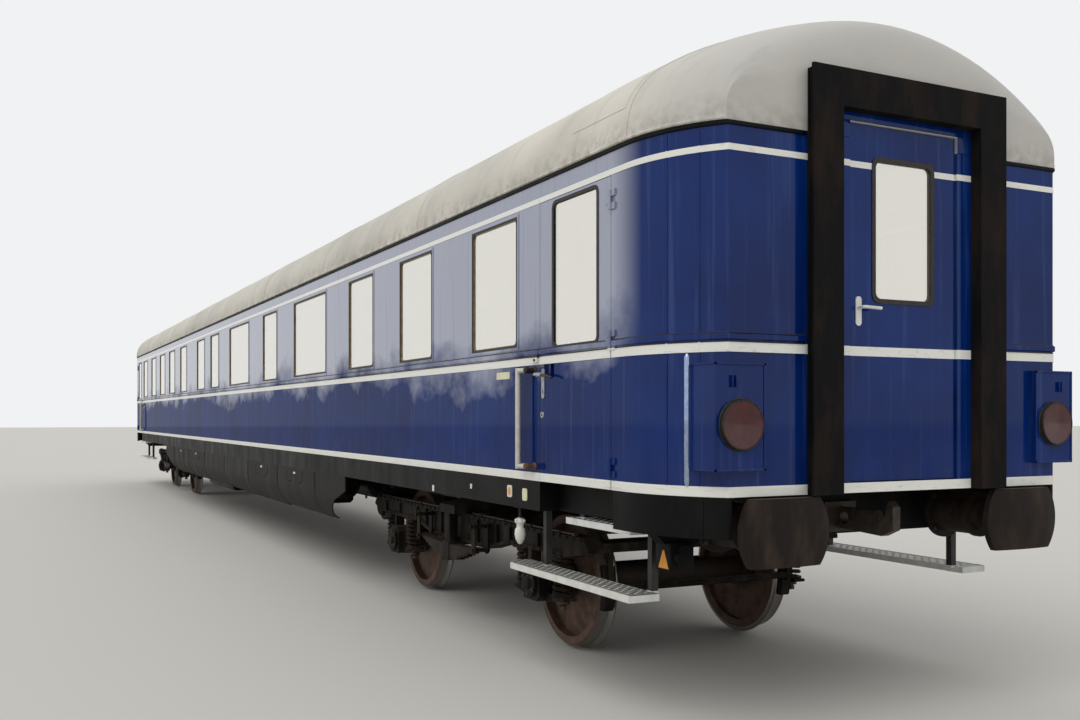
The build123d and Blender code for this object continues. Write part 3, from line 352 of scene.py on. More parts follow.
def chequerSteel(low, high):
    # galvanised chequer tread between two heights, its edges painted white to show at night, on black posts
    material, tree, inputs, place = newMaterial("galvanised chequer plate", "#A3A29A", 0.5)
    facing = addNode(tree, "NewGeometry").outputs["Normal"]
    upward = addNode(tree, "SeparateXYZ", [facing]).outputs["Z"]
    height = addNode(tree, "SeparateXYZ", [place]).outputs["Z"]
    over = addNode(tree, "Math", [height, (low + high) / 2], operation="SUBTRACT")
    away = addNode(tree, "Math", [over], operation="ABSOLUTE")
    tread = addNode(tree, "Math", [away, (high - low) / 2 + 0.006], operation="LESS_THAN")
    flat = addNode(tree, "MapRange", [upward, 0.35, 0.55, 0.0, 1.0])
    worn = mottle(tree, place, 60, (1, 1, 1), 6.0, 3.0, 0.4, 0.7)
    plate = layer(tree, *chequerColours["plate"], worn)
    edge = layer(tree, *chequerColours["edge"], worn, most=0.35)
    post = layer(tree, *chequerColours["post"], worn)
    tree.links.new(layer(tree, post, layer(tree, edge, plate, flat), tread), inputs["Base Color"])
    bare = addNode(tree, "Math", [flat, tread], operation="MULTIPLY")
    addNode(tree, "Math", [bare, 0.5], inputs["Metallic"], operation="MULTIPLY")
    relief(tree, inputs, place, 0.8, 0.4, (1, 9, (1, 1, 1), 4.0, 5.0))
    return material


def paneGlass():
    # sheet glass with a thin mirror film, as bright as the sky that it faces
    material, tree, inputs, place = newMaterial(
        "filmed sheet glass", "#F8F5EC", 0.03, 0.72, [("Transmission Weight", 0.75), ("IOR", 1.5)])
    smear = mottle(tree, place, 300, (1, 1, 0.2), 5.0, 6.0)
    addNode(tree, "MapRange", [smear, 0.4, 0.8, 0.02, 0.10], inputs["Roughness"])
    return material


def plainFinish(name, colour, other, millimetres, roughness, metallic=0.0, bump=0.5, coat=0.0):
    # one finish mottled between two close tones, for small parts and inside panels
    material, tree, inputs, place = newMaterial(name, colour, roughness, metallic, [("Coat Weight", coat)])
    blotch = mottle(tree, place, millimetres, (1, 1, 1), 6.0, 2.5)
    tree.links.new(layer(tree, colour, other, blotch, 0.35, 0.7), inputs["Base Color"])
    relief(tree, inputs, place, bump, 0.4, (1, millimetres / 6, (1, 1, 1), 4.0, 6.0))
    return material


def beechVeneer():
    # lacquered beech ply: fine upright grain under a satin varnish
    material, tree, inputs, place = newMaterial(
        "lacquered beech ply", "#A9814F", 0.35, more=[("Coat Weight", 0.3)])
    grain = mottle(tree, place, 18, (1, 1, 0.05), 6.0, 1.0)
    tree.links.new(layer(tree, "#8F6A3E", "#B98F5B", grain, 0.35, 0.7), inputs["Base Color"])
    return material


def woolMoquette():
    # wool moquette: short cut pile in a small woven diaper, soft sheen at the edges
    material, tree, inputs, place = newMaterial(
        "wool moquette", "#5A2E28", 0.9, more=[("Sheen Weight", 0.35)])
    cells = addNode(tree, "TexVoronoi", {"Vector": place, "Scale": 1000 / 24})
    tree.links.new(layer(tree, "#6E3A31", "#47231F", cells, 0.2, 0.6), inputs["Base Color"])
    relief(tree, inputs, place, 1.2, 0.6, (1, 4, (1, 1, 1), 3.0, 2.0))
    return material


enamel = glossEnamel()
lacquer = roofLacquer()
# paint, dust, blotch in millimetres, roughness, share of dust, metallic
soleBlack = dustyBlack("satin chassis black", "#050506", "#3A3733", 260, 0.42, 0.22)
skirtBlack = dustyBlack("dusty skirt black", "#191716", "#4C443C", 420, 0.5, 0.5)
bogieBlack = dustyBlack("greasy bogie black", "#12100F", "#5A4D40", 150, 0.55, 0.55)
springBlack = dustyBlack("spring steel black", "#1A1715", "#5C4B3D", 70, 0.45, 0.6, 0.4)
rubberBlack = dustyBlack("gangway rubber", "#0D0D0E", "#4A3A30", 180, 0.7, 0.35)
bufferSteel = dustyBlack("greased buffer steel", "#241F1D", "#57493F", 110, 0.5, 0.5, 0.3)
wheel = wheelSteel()
chequers = {"lower": chequerSteel(0.65, 0.69), "upper": chequerSteel(1.02, 1.06)}
pane = paneGlass()
# two tones, blotch in millimetres, roughness, metallic, relief in millimetres, coat
gasket = plainFinish("rubber glazing strip", "#1A1612", "#2C2620", 40, 0.6)
brassBead = plainFinish("tarnished brass glazing bead", "#5E4F38", "#83704C", 50, 0.4, 0.6)
whiteEnamel = plainFinish("white enamel", "#DDDED8", "#C9C8C0", 80, 0.35, 0.0, 0.4, 0.3)
railPaint = plainFinish("aged white enamel", "#CBC8BC", "#B2AEA0", 60, 0.4, 0.0, 0.4, 0.2)
zincPlate = plainFinish("zinc-plated steel", "#B4B6B8", "#8A8C8F", 30, 0.38, 0.5)
creamPlate = plainFinish("cream enamel plate", "#DDDAB8", "#CFCBA4", 60, 0.4)
orangePlate = plainFinish("orange enamel plate", "#E39A24", "#D4881C", 60, 0.4)
lampRed = plainFinish("ruby lamp lens", "#4A070B", "#2E0507", 40, 0.1, 0.0, 0.3, 0.15)
lampRim = plainFinish("tarnished lamp rim", "#35302A", "#1F1C19", 20, 0.45, 0.5)
# the corner bead's pale bluish metal is a painted highlight of the sky on blue enamel
highlightBead = plainFinish("burnished corner bead", "#A9B6CF", "#8296BC", 30, 0.16, 0.85, 0.3)
ironDark = plainFinish("forged iron", "#2A2725", "#4A3D33", 50, 0.5, 0.5)
rustyIron = plainFinish("rusty iron", "#54402F", "#6B5140", 18, 0.8, 0.2, 0.8)
beech = beechVeneer()
moquette = woolMoquette()
lino = plainFinish("marbled lino", "#5C5247", "#4A4239", 60, 0.45)
ceilingPaint = plainFinish("cream ceiling paint", "#CFC8B4", "#C3BBA6", 300, 0.6)

# the start of each node's name and its finish; the longest start that fits is taken
cadFinishes = {
    "side_wall": enamel, "cantrails": enamel, "end_wall": enamel, "side_door": enamel, "end_door": enamel,
    "side_door_glass": pane, "end_door_glass": pane, "window_glass": pane, "window_frames": enamel,
    "lamp_housings": enamel, "tail_lamps": lampRed, "roof": lacquer, "gangway": rubberBlack,
    "underframe": soleBlack, "headstocks": soleBlack, "body_bolsters": soleBlack, "end_skirts": soleBlack,
    "underfloor_boxes": soleBlack, "generator": soleBlack, "skirt": skirtBlack, "grab_rails": railPaint,
    "steps_lower": chequers["lower"], "steps_upper": chequers["upper"],
    "buffers": bufferSteel, "draw_gear": ironDark, "bogie": bogieBlack, "horn_guides": bogieBlack,
    "axleboxes": bogieBlack, "brake_gear": bogieBlack, "coil_springs": springBlack,
    "leaf_springs": springBlack, "wheelset": wheel,
    "floor": lino, "partitions": beech, "seats": moquette,
}


def dressNodes():
    for name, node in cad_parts.items():
        match = max((start for start in cadFinishes if name.startswith(start)), key=len)
        node.data.materials.clear()
        node.data.materials.append(cadFinishes[match])


dressNodes()
print("materials made")


# shape helpers

def inPlane(along, across, up, at):
    # a point given in the plane square to one axis
    return {"x": (at, across, up), "y": (across, at, up), "z": (across, up, at)}[along]


def addSkin(form, rows, looped=True, capped=True):
    # rows of points, each joined to the next; looped rows close on themselves
    rings = [[form.verts.new(point) for point in row] for row in rows]
    for first, second in zip(rings, rings[1:]):
        count = len(first)
        for i in range(count if looped else count - 1):
            j = (i + 1) % count
            form.faces.new((first[i], first[j], second[j], second[i]))
    if capped:
        form.faces.new(rings[0])
        form.faces.new(rings[-1])


def addBox(form, low, high):
    made = bmesh.ops.create_cube(form, size=1)["verts"]
    low, high = Vector(low), Vector(high)
    place = Matrix.Translation((low + high) / 2) @ Matrix.Diagonal((*(high - low), 1))
    bmesh.ops.transform(form, matrix=place, verts=made)


def addBlock(form, x, y, halfX, halfY, low, high):
    # a box round an upright line, between two heights
    addBox(form, (x - halfX, y - halfY, low), (x + halfX, y + halfY, high))


def addPrism(form, along, outline, start, end):
    addSkin(form, [[inPlane(along, a, b, at) for a, b in outline] for at in (start, end)])


def addLathe(form, along, centre, profile, sides=24):
    # profile: place along the axis and radius; centre: the axis in the plane square to it
    turns = [2 * math.pi * (i + 0.5) / sides for i in range(sides)]
    x, y = centre
    addSkin(form, [[inPlane(along, x + radius * math.cos(t), y + radius * math.sin(t), at) for t in turns]
                   for at, radius in profile])


def addTube(form, points, radius, sides=10, squash=1.0):
    # a rod through the points with mitred bends
    points = [Vector(p) for p in points]
    rows, side = [], None
    for i, point in enumerate(points):
        before = (point - points[i - 1]).normalized() if i else (points[1] - point).normalized()
        after = (points[i + 1] - point).normalized() if i + 1 < len(points) else before
        ahead = (before + after).normalized()
        side = side or ahead.orthogonal().normalized()
        side = (side - ahead * side.dot(ahead)).normalized()
        other = ahead.cross(side)
        wide = 1 / max(0.5, ahead.dot(after))
        bend = after - before
        flat = bend.normalized() if bend.length > 1e-4 else None
        row = []
        for k in range(sides):
            t = 2 * math.pi * k / sides
            offset = side * math.cos(t) * radius + other * math.sin(t) * radius * squash
            if flat:
                offset += flat * offset.dot(flat) * (wide - 1)
            row.append(point + offset)
        rows.append(row)
    addSkin(form, rows)


def bendLine(points, radius, steps=5):
    # the same line with its corners rounded
    points = [Vector(p) for p in points]
    line = [points[0]]
    for before, corner, after in zip(points, points[1:], points[2:]):
        back, ahead = before - corner, after - corner
        reach = min(radius, back.length * 0.49, ahead.length * 0.49)
        start = corner + back.normalized() * reach
        end = corner + ahead.normalized() * reach
        for i in range(steps + 1):
            t = i / steps
            line.append(start * (1 - t) ** 2 + corner * 2 * t * (1 - t) + end * t ** 2)
    return line + [points[-1]]


def roundFrame(left, right, low, high, corner, steps=4):
    # a rectangle with round corners
    points = []
    for x, z, start in [(right - corner, high - corner, 0), (left + corner, high - corner, 90),
                        (left + corner, low + corner, 180), (right - corner, low + corner, 270)]:
        turns = [math.radians(start + 90 * i / steps) for i in range(steps + 1)]
        points += [(x + corner * math.cos(t), z + corner * math.sin(t)) for t in turns]
    return points


def addFrame(form, outline, inner, near, far, toPoint):
    # a ring between two outlines with the same number of points, raised from near to far
    rows = []
    for (a, b), (c, d) in zip(outline + outline[:1], inner + inner[:1]):
        rows.append([toPoint(a, b, near), toPoint(a, b, far), toPoint(c, d, far), toPoint(c, d, near)])
    addSkin(form, rows, True, False)


def onSide(sx, sy):
    # hands back a function that places points on one side: along it, up it, and out from its sheet
    def toPoint(x, z, out):
        return sx * x, sy * (halfWidth + out), z

    return toPoint


def addPad(form, sy, outline, start, end):
    # a flat pad on one side, its outline drawn along and up, from start to end out from the sheet
    addPrism(form, "y", outline, sy * (halfWidth + start), sy * (halfWidth + end))


def addKnob(form, x, sy, z, profile, sides):
    # a turned piece square to one side; profile: how far out and radius
    addLathe(form, "y", (x, z), [(sy * (halfWidth + out), radius) for out, radius in profile], sides)


def rideOn(piece, body, replaced):
    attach(piece, body)
    if replaced:
        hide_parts(*replaced)
    return piece


def finishPiece(form, name, finish, body="coach_body", bevel=0.0, smooth=32, replaced=()):
    if bevel:
        sharp = [e for e in form.edges if len(e.link_faces) == 2 and e.calc_face_angle(0) > 0.6]
        bmesh.ops.bevel(form, geom=sharp, offset=bevel, segments=2, affect="EDGES", profile=0.5)
    bmesh.ops.recalc_face_normals(form, faces=form.faces)
    mesh = bpy.data.meshes.new(name)
    form.to_mesh(mesh)
    form.free()
    mesh.materials.append(finish)
    mesh.shade_smooth()
    mesh.set_sharp_from_angle(angle=math.radians(smooth))
    return rideOn(placeInScene(name, mesh), body, replaced)


def welded(form):
    bmesh.ops.remove_doubles(form, verts=form.verts, dist=1e-5)
    return form


def startTree(name, inputs):
    # a node group with a guide, named inputs and one output; hands back the group and its input sockets
    tree = bpy.data.node_groups.new(name, "GeometryNodeTree")
    for title, kind in {"Guide": "Geometry", **inputs, "Finish": "Material"}.items():
        tree.interface.new_socket(title, in_out="INPUT", socket_type="NodeSocket" + kind)
    tree.interface.new_socket("Copies", in_out="OUTPUT", socket_type="NodeSocketGeometry")
    return tree, addNode(tree, "NodeGroupInput").outputs


def closeTree(tree, given, links):
    # copies on the guide's points, made real and given their finish
    copies = addNode(tree, "GeometryNodeInstanceOnPoints", {"Points": given["Guide"], **links})
    real = addNode(tree, "GeometryNodeRealizeInstances", [copies])
    dressed = addNode(tree, "GeometryNodeSetMaterial", {0: real, "Material": given["Finish"]})
    addNode(tree, "NodeGroupOutput", [dressed])
    return tree


def makeRepeatTree():
    # copies of one shape on the guide's points, turned by each point's own turn and a little at random
    tree, given = startTree("repeat on points", {"Shape": "Object", "Loose turn": "Float", "Seed": "Int"})
    turn = addNode(tree, "GeometryNodeInputNamedAttribute", {"Name": "turn"}, data_type="FLOAT_VECTOR")
    setTurn = addNode(tree, "FunctionNodeEulerToRotation", [turn])
    low = addNode(tree, "Math", [given["Loose turn"], -1.0], operation="MULTIPLY")
    loose = addNode(tree, "FunctionNodeRandomValue", {
        2: low, 3: given["Loose turn"], "Seed": given["Seed"]}, data_type="FLOAT")
    around = addNode(tree, "CombineXYZ", {2: loose.outputs[1]})
    looseTurn = addNode(tree, "FunctionNodeEulerToRotation", [around])
    turned = addNode(tree, "FunctionNodeRotateRotation", [setTurn, looseTurn],
                     rotation_space="LOCAL")
    shape = addNode(tree, "GeometryNodeObjectInfo", {"Object": given["Shape"]})
    return closeTree(tree, given, {"Instance": shape.outputs["Geometry"], "Rotation": turned})


def runTree(tree, holder, values):
    # runs the tree on a holder and swaps the modifier for the mesh that it makes
    modifier = holder.modifiers.new("nodes", "NODES")
    modifier.node_group = tree
    for item in tree.interface.items_tree:
        if item.in_out == "INPUT" and item.name in values:
            modifier[item.identifier] = values[item.name]
    bpy.context.view_layer.update()
    made = bpy.data.meshes.new_from_object(holder.evaluated_get(bpy.context.evaluated_depsgraph_get()))
    made.name = holder.name
    holder.modifiers.clear()
    guide, holder.data = holder.data, made
    bpy.data.meshes.remove(guide)


def repeatShape(form, name, finish, places, body="coach_body", looseTurn=0.0, seed=1, bevel=0.0, smooth=32,
                replaced=()):
    # form is one copy round the origin; places hold (point, turn in degrees)
    shape = finishPiece(form, name + "_one", finish, body, bevel, smooth)
    guide = bpy.data.meshes.new(name)
    guide.from_pydata([point for point, turn in places], [], [])
    turns = guide.attributes.new("turn", "FLOAT_VECTOR", "POINT")
    turns.data.foreach_set("vector", [math.radians(v) for point, turn in places for v in turn])
    holder = placeInScene(name, guide)
    runTree(repeatTree, holder, {"Shape": shape, "Finish": finish, "Loose turn": looseTurn, "Seed": seed})
    bpy.data.objects.remove(shape)
    return rideOn(holder, body, replaced)


repeatTree = makeRepeatTree()
print("helpers ready")

# roof: one skin over the whole coach, domed at both ends, with its ceilings inside

roofSettings = {
    "overhang": 0.014, "lip": 0.013, "top": 4.0,
    "middle": (0, 0.5, 0),      # drop, radius and lift away from the domes, as in the rows below
    # back from the end, how far the crown drops, radius at the eaves, how far the lip rises
    "dome": [(1.05, 0, 0.5, 0), (0.48, 0.04, 0.48, 0), (0.2, 0.08, 0.44, 0), (0.08, 0.125, 0.39, 0),
             (0.025, 0.22, 0.29, 0.022), (0, 0.42, 0.18, 0.054)],
    "stepsBetween": 6,
    "arcPoints": 40,
    "crownShare": 0.6,          # share of the points that lies on the crown, the rest on the two shoulders
    # zones from the middle outwards: start, end, half width at the eaves and above, height of the ceiling
    "ceilings": [(0, 10.85, 1.38, 1.3, 3.48), (10.85, 10.95, 1.38, 1.3, 3.1931),
                 (10.95, 12.4876, 1.04, 1.04, 3.3), (12.4876, 12.5976, 0.4, 0.4, 3.28)],
    "sheet": 0.03,
    # painted as a ceiling: what faces down by this much, inside these limits from the middle and from the end
    "painted": (-0.3, 1.37, 0.12),
}


def halfWidthAt(x):
    past = abs(x) - cornerX
    return halfWidth if past <= 0 else halfWidth - cornerRadius + math.sqrt(cornerRadius ** 2 - past ** 2)


def smoothRows(rows, steps):
    # a Catmull-Rom line through the rows of a table
    line = []
    for i in range(len(rows) - 1):
        near = [rows[max(0, i - 1)], rows[i], rows[i + 1], rows[min(len(rows) - 1, i + 2)]]
        for k in range(steps):
            t = k / steps
            line.append([0.5 * (2 * b + (c - a) * t + (2 * a - 5 * b + 4 * c - d) * t * t
                                + (3 * b - a - 3 * c + d) * t ** 3) for a, b, c, d in zip(*near)])
    return line + [list(rows[-1])]


def roofArc(x, drop, radius, lift, out=0.0):
    # the outer line of one section, from one eaves to the other
    s = roofSettings
    half = halfWidthAt(x) + s["overhang"]
    spring = eavesZ + s["lip"] + lift
    reach, rise = half - radius, s["top"] - drop - spring
    crown = (reach ** 2 + rise ** 2 - radius ** 2) / (2 * (rise - radius))
    centreZ = s["top"] - drop - crown
    angle = math.atan2(spring - centreZ, reach)
    middle = s["arcPoints"] / 2
    points = []
    for i in range(s["arcPoints"] + 1):
        share = abs(i - middle) / middle
        sign = -1 if i < middle else 1
        if share > s["crownShare"]:
            a, arc = angle * (1 - share) / (1 - s["crownShare"]), radius + out
            points.append((sign * (reach + arc * math.cos(a)), spring + arc * math.sin(a)))
        else:
            a, arc = math.pi / 2 - (math.pi / 2 - angle) * share / s["crownShare"], crown + out
            points.append((sign * arc * math.cos(a), centreZ + arc * math.sin(a)))
    return [(-half - out, eavesZ)] + points + [(half + out, eavesZ)]


def makeRoof():
    stations = [(0, roofSettings["middle"])] + [(endX - back, row) for back, *row in domeLine]
    cuts = []
    for start, end, half, high, ceiling in roofSettings["ceilings"]:
        for at in (start, end):
            far, farRow = next((s for s in stations if s[0] >= at - 1e-6), stations[-1])
            near, nearRow = [s for s in stations if s[0] <= at + 1e-6][-1]
            t = (at - near) / (far - near) if far - near > 1e-6 else 0
            cuts.append((at, [b + (a - b) * t for a, b in zip(farRow, nearRow)], half, high, ceiling))
        cuts += [(x, row, half, high, ceiling) for x, row in stations if start < x < end]
        # where the width changes, the outer zone's row comes first, so the step in the ceilings is bevelled
        cuts.sort(key=lambda cut: (cut[0], cut[0] == start and cut[2] != half))
    rows = []
    for at, row, half, high, ceiling in cuts:
        half = min(half, halfWidthAt(at) - roofSettings["sheet"])
        high = min(high, half)
        under = [(half, eavesZ), (high, ceiling), (-high, ceiling), (-half, eavesZ)]
        rows.append([(at, y, z) for y, z in roofArc(at, *row) + under])
    form = bmesh.new()
    addSkin(form, [[(-x, y, z) for x, y, z in row] for row in reversed(rows[1:])] + rows)
    bmesh.ops.dissolve_degenerate(form, dist=1e-6, edges=form.edges)
    roof = finishPiece(form, "roof_skin", lacquer, replaced=["roof"])
    roof.data.materials.append(ceilingPaint)
    down, half, fromEnd = roofSettings["painted"]
    for face in roof.data.polygons:
        if face.normal.z < down and abs(face.center.y) < half and abs(face.center.x) < endX - fromEnd:
            face.material_index = 1


domeLine = smoothRows(roofSettings["dome"], roofSettings["stepsBetween"])
makeRoof()
print("roof made")

# raised mouldings and bands of the body, laid round the corners to the gangways

bandSettings = {
    # name, bottom, top, how far it stands out, finish
    "rows": [("lower_band", 1.276, 1.323, 0.003, enamel), ("waist_band", 2.015, 2.060, 0.004, enamel),
             ("sill_ledge", 2.078, 2.112, 0.012, enamel), ("top_band", 3.039, 3.065, 0.003, enamel),
             # the dark strip just under the sill ledge is a painted shadow of the ledge; the dark strip above
             # the ledge is the panes' rubber seal
             ("ledge_seal", 2.0665, 2.0725, 0.003, gasket), ("pane_seal", 2.1125, 2.118, 0.005, gasket),
             ("gutter", 3.168, 3.190, 0.011, soleBlack)],
    "sunk": 0.002,
    "soft": 0.004,
    "gangwaySide": 0.71,
    "doorEnd": 10.934,
    "gap": 0.005,
    "cornerTurn": 42,           # degrees round the bent corner to the flat end
    # upright beads: name, finish, and for each its degrees round the corner, bottom, top and radius
    "beads": [("corner_seams", enamel, [(20.5, 1.325, 3.16, 0.006), (32.4, 1.325, 3.16, 0.006)]),
              ("skirt_seams", soleBlack, [(33.5, 1.062, 1.273, 0.006)]),
              # the bead beside each lamp carries a painted highlight
              ("corner_beads", highlightBead, [(28.2, 1.329, 2.011, 0.017)])],
    "beadTip": 0.02,
}


def cornerLine(out, end, steps=14):
    # plan points from the door's hinge edge round the corner, out metres outside the sheet
    radius, middle = cornerRadius + out, halfWidth - cornerRadius
    line = [(doorEdgeX + bandSettings["gap"], halfWidth + out)]
    for i in range(steps + 1):
        turn = math.radians(end * i / steps)
        line.append((cornerX + radius * math.sin(turn), middle + radius * math.cos(turn)))
    return line


def roundLine(out):
    # on from the corner to the gangway; the last corner point gives way to where the two faces meet
    turn = bandSettings["cornerTurn"]
    meet = (endX + out, halfWidthAt(endX) + out * math.tan(math.radians((90 - turn) / 2)))
    return cornerLine(out, turn)[:-1] + [meet, (endX + out, bandSettings["gangwaySide"])]


def addBand(form, sx, sy, low, high, proud, start=None, end=None):
    # a moulding along the flat side from start to end, or round the corner if neither is given
    def line(out):
        return roundLine(out) if end is None else [(start, halfWidth + out), (end, halfWidth + out)]

    soft = min(bandSettings["soft"], proud * 0.4)
    rows = []
    for a, b, c in zip(line(-bandSettings["sunk"]), line(proud * 0.7), line(proud)):
        flat = [(a, low), (b, low), (c, low + soft), (c, high - soft), (b, high), (a, high)]
        rows.append([(sx * p[0], sy * p[1], z) for p, z in flat])
    addSkin(form, rows)


def makeBands():
    s = bandSettings
    gap, doorEnd = s["gap"], s["doorEnd"]
    for name, low, high, proud, finish in s["rows"]:
        form = bmesh.new()
        for sx, sy in corners:
            addBand(form, sx, sy, low, high, proud)
            addBand(form, sx, sy, low, high, proud, 0, doorEnd - gap)
            if name == "gutter":
                addBand(form, sx, sy, low, high, proud, doorEnd - gap, doorEdgeX + gap)
        finishPiece(welded(form), name, finish)
    for sx, sy in corners:
        # the door seals carry the panes' rubber seal and the painted shadow under the sill ledge
        for kind, wanted in (("door_bands_", enamel), ("door_seals_", gasket)):
            form = bmesh.new()
            for name, low, high, proud, finish in s["rows"]:
                if finish is wanted and low > doorLowZ - 0.01 and high < doorHighZ + 0.01:
                    addBand(form, sx, sy, low, high, proud, doorEnd + gap, doorEdgeX - gap)
            finishPiece(form, kind + cornerNames[sx, sy], wanted, "side_door_" + cornerNames[sx, sy])


def makeCornerBeads():
    # upright beads on the bent corners: two enamelled, one on the skirt, and one beside each lamp in a pale
    # metal that paints the sky's highlight on the blue bead
    tip = bandSettings["beadTip"]
    for name, finish, beads in bandSettings["beads"]:
        form = bmesh.new()
        for sx, sy in corners:
            for turn, low, high, radius in beads:
                x, y = cornerLine(0, turn)[-1]
                addLathe(form, "z", (sx * x, sy * y), [(low, radius * 0.5), (low + tip, radius),
                                                       (high - tip, radius), (high, radius * 0.5)], 16)
        finishPiece(form, name, finish)


makeBands()
makeCornerBeads()

# windows: thin bead with rounded corners round every pane

windowSettings = {
    # middle of each window behind the door's hinge edge, and its width, in millimetres
    "rows": [(1605, 800), (3190, 810), (4710, 810), (6640, 1430), (8620, 830), (10640, 1450), (12640, 780),
             (14000, 820), (16000, 820), (17550, 820), (19000, 820), (20500, 820), (22055, 800)],
    "low": 2.125, "high": 3.026, "frame": 0.026,
    "corner": 0.04, "bead": 0.006,
    "strip": (0.008, 0.004),    # how far the rubber reaches past the pane, and its corner
    "stripOut": (-0.008, 0.0065), "beadOut": (-0.007, 0.003),
    "doorPane": (0.163, 0.538, 2.125, 2.998),   # past the hinge edge, width, bottom, top
    "doorGasket": (0.022, 0.05, 0.028),         # past the pane, corners outside and inside
    "doorGasketOut": (-0.02, 0.004),
}


def makeBeads():
    w = windowSettings
    wide, corner, (past, stripCorner) = w["bead"], w["corner"], w["strip"]
    low, high = w["low"] + w["frame"], w["high"] - w["frame"]
    beads, strips = bmesh.new(), bmesh.new()
    for sy in (-1, 1):
        for distance, width in w["rows"]:
            middle = doorEdgeX - distance / 1000
            half = width / 2000 - w["frame"]

            def ring(inset, corner):
                left, right = middle - half + inset, middle + half - inset
                return roundFrame(left, right, low + inset, high - inset, corner)

            addFrame(strips, ring(-past, stripCorner), ring(wide, corner), *w["stripOut"], onSide(1, sy))
            addFrame(beads, ring(wide, corner), ring(2 * wide, corner - wide), *w["beadOut"], onSide(1, sy))
    finishPiece(welded(beads), "window_beads", brassBead)
    finishPiece(welded(strips), "window_strips", gasket)
    back, width, low, high = w["doorPane"]
    past, outerCorner, innerCorner = w["doorGasket"]
    near, far = doorEdgeX - back, doorEdgeX - back - width
    outline = roundFrame(far - past, near + past, low - past, high + past, outerCorner)
    inner = roundFrame(far, near, low, high, innerCorner)
    for sx, sy in corners:
        form, name = bmesh.new(), cornerNames[sx, sy]
        addFrame(form, outline, inner, *w["doorGasketOut"], onSide(sx, sy))
        finishPiece(welded(form), "door_gasket_" + name, gasket, "side_door_" + name)


makeBeads()
print("mouldings and beads made")

# running gear: helical springs, leaf springs and their fittings

coilSettings = {
    "x": 0.29, "y": 1.0, "low": 0.434, "high": 0.725, "radius": 0.063, "wire": 0.015, "turns": 6.5,
    "seat": [(0, 0.082), (0.012, 0.082), (0.022, 0.05)],        # from the spring's end inwards, and radius
}
leafSettings = {
    "y": 1.122, "half": 0.048, "top": 0.652, "length": 1.34, "count": 7, "thick": 0.0155, "pitch": 0.017,
    "step": 0.15, "sag": 0.028, "tip": 0.7, "pieces": 16,
    "buckle": 0.07, "buckleTop": 0.88, "hanger": 0.62,
    "pins": [(0.632, 0.03), (0.82, 0.045)],     # height, how far it stands past the leaf
    "pinRadius": 0.016, "linkRadius": 0.03,
}


def makeCoilTree():
    # a helix of round wire with closed ends, repeated on the guide's points
    tree, given = startTree("helical springs", {
        "Turns": "Float", "Radius": "Float", "Height": "Float", "Wire": "Float"})
    helix = addNode(tree, "GeometryNodeCurveSpiral", {
        "Resolution": 20, "Rotations": given["Turns"], "Start Radius": given["Radius"],
        "End Radius": given["Radius"], "Height": given["Height"]})
    wire = addNode(tree, "GeometryNodeCurvePrimitiveCircle", {"Resolution": 10, "Radius": given["Wire"]})
    spring = addNode(tree, "GeometryNodeCurveToMesh", {
        "Curve": helix, "Profile Curve": wire, "Fill Caps": True})
    return closeTree(tree, given, {"Instance": spring})


def makeCoils():
    s = coilSettings
    tree = makeCoilTree()
    wire, low, high = s["wire"], s["low"], s["high"]
    for sx, body in bogies:
        spots = [(sx * axle + dx * s["x"], sy * s["y"])
                 for axle in axlePlaces for dx in (-1, 1) for sy in (-1, 1)]
        guide = bpy.data.meshes.new("coils")
        guide.from_pydata([(x, y, low + wire) for x, y in spots], [], [])
        holder = placeInScene("coils_" + body, guide)
        runTree(tree, holder, {
            "Turns": s["turns"], "Radius": s["radius"], "Wire": wire, "Finish": springBlack,
            "Height": high - low - 2 * wire})
        holder.data.shade_smooth()
        rideOn(holder, body, ["coil_springs_" + body[6:]])
        form = bmesh.new()
        for spot in spots:
            addLathe(form, "z", spot, [(low + up, radius) for up, radius in s["seat"]])
            addLathe(form, "z", spot, [(high - down, radius) for down, radius in reversed(s["seat"])])
        finishPiece(form, "coil_seats_" + body, bogieBlack, body)


def addLeaf(form, middle, sy, leaf):
    s = leafSettings
    half = (s["length"] - leaf * s["step"]) / 2
    rows = []
    for i in range(s["pieces"] + 1):
        share = -1 + 2 * i / s["pieces"]
        x = half * share
        sag = s["sag"] * (1 - (2 * x / s["length"]) ** 2)
        top = s["top"] - sag - leaf * s["pitch"]
        narrow = s["half"] * (s["tip"] if abs(share) == 1 else 1)
        low, y = top - s["thick"], sy * s["y"]
        section = ((y - narrow, low), (y + narrow, low), (y + narrow, top), (y - narrow, top))
        rows.append([(middle + x, y, z) for y, z in section])
    addSkin(form, rows)


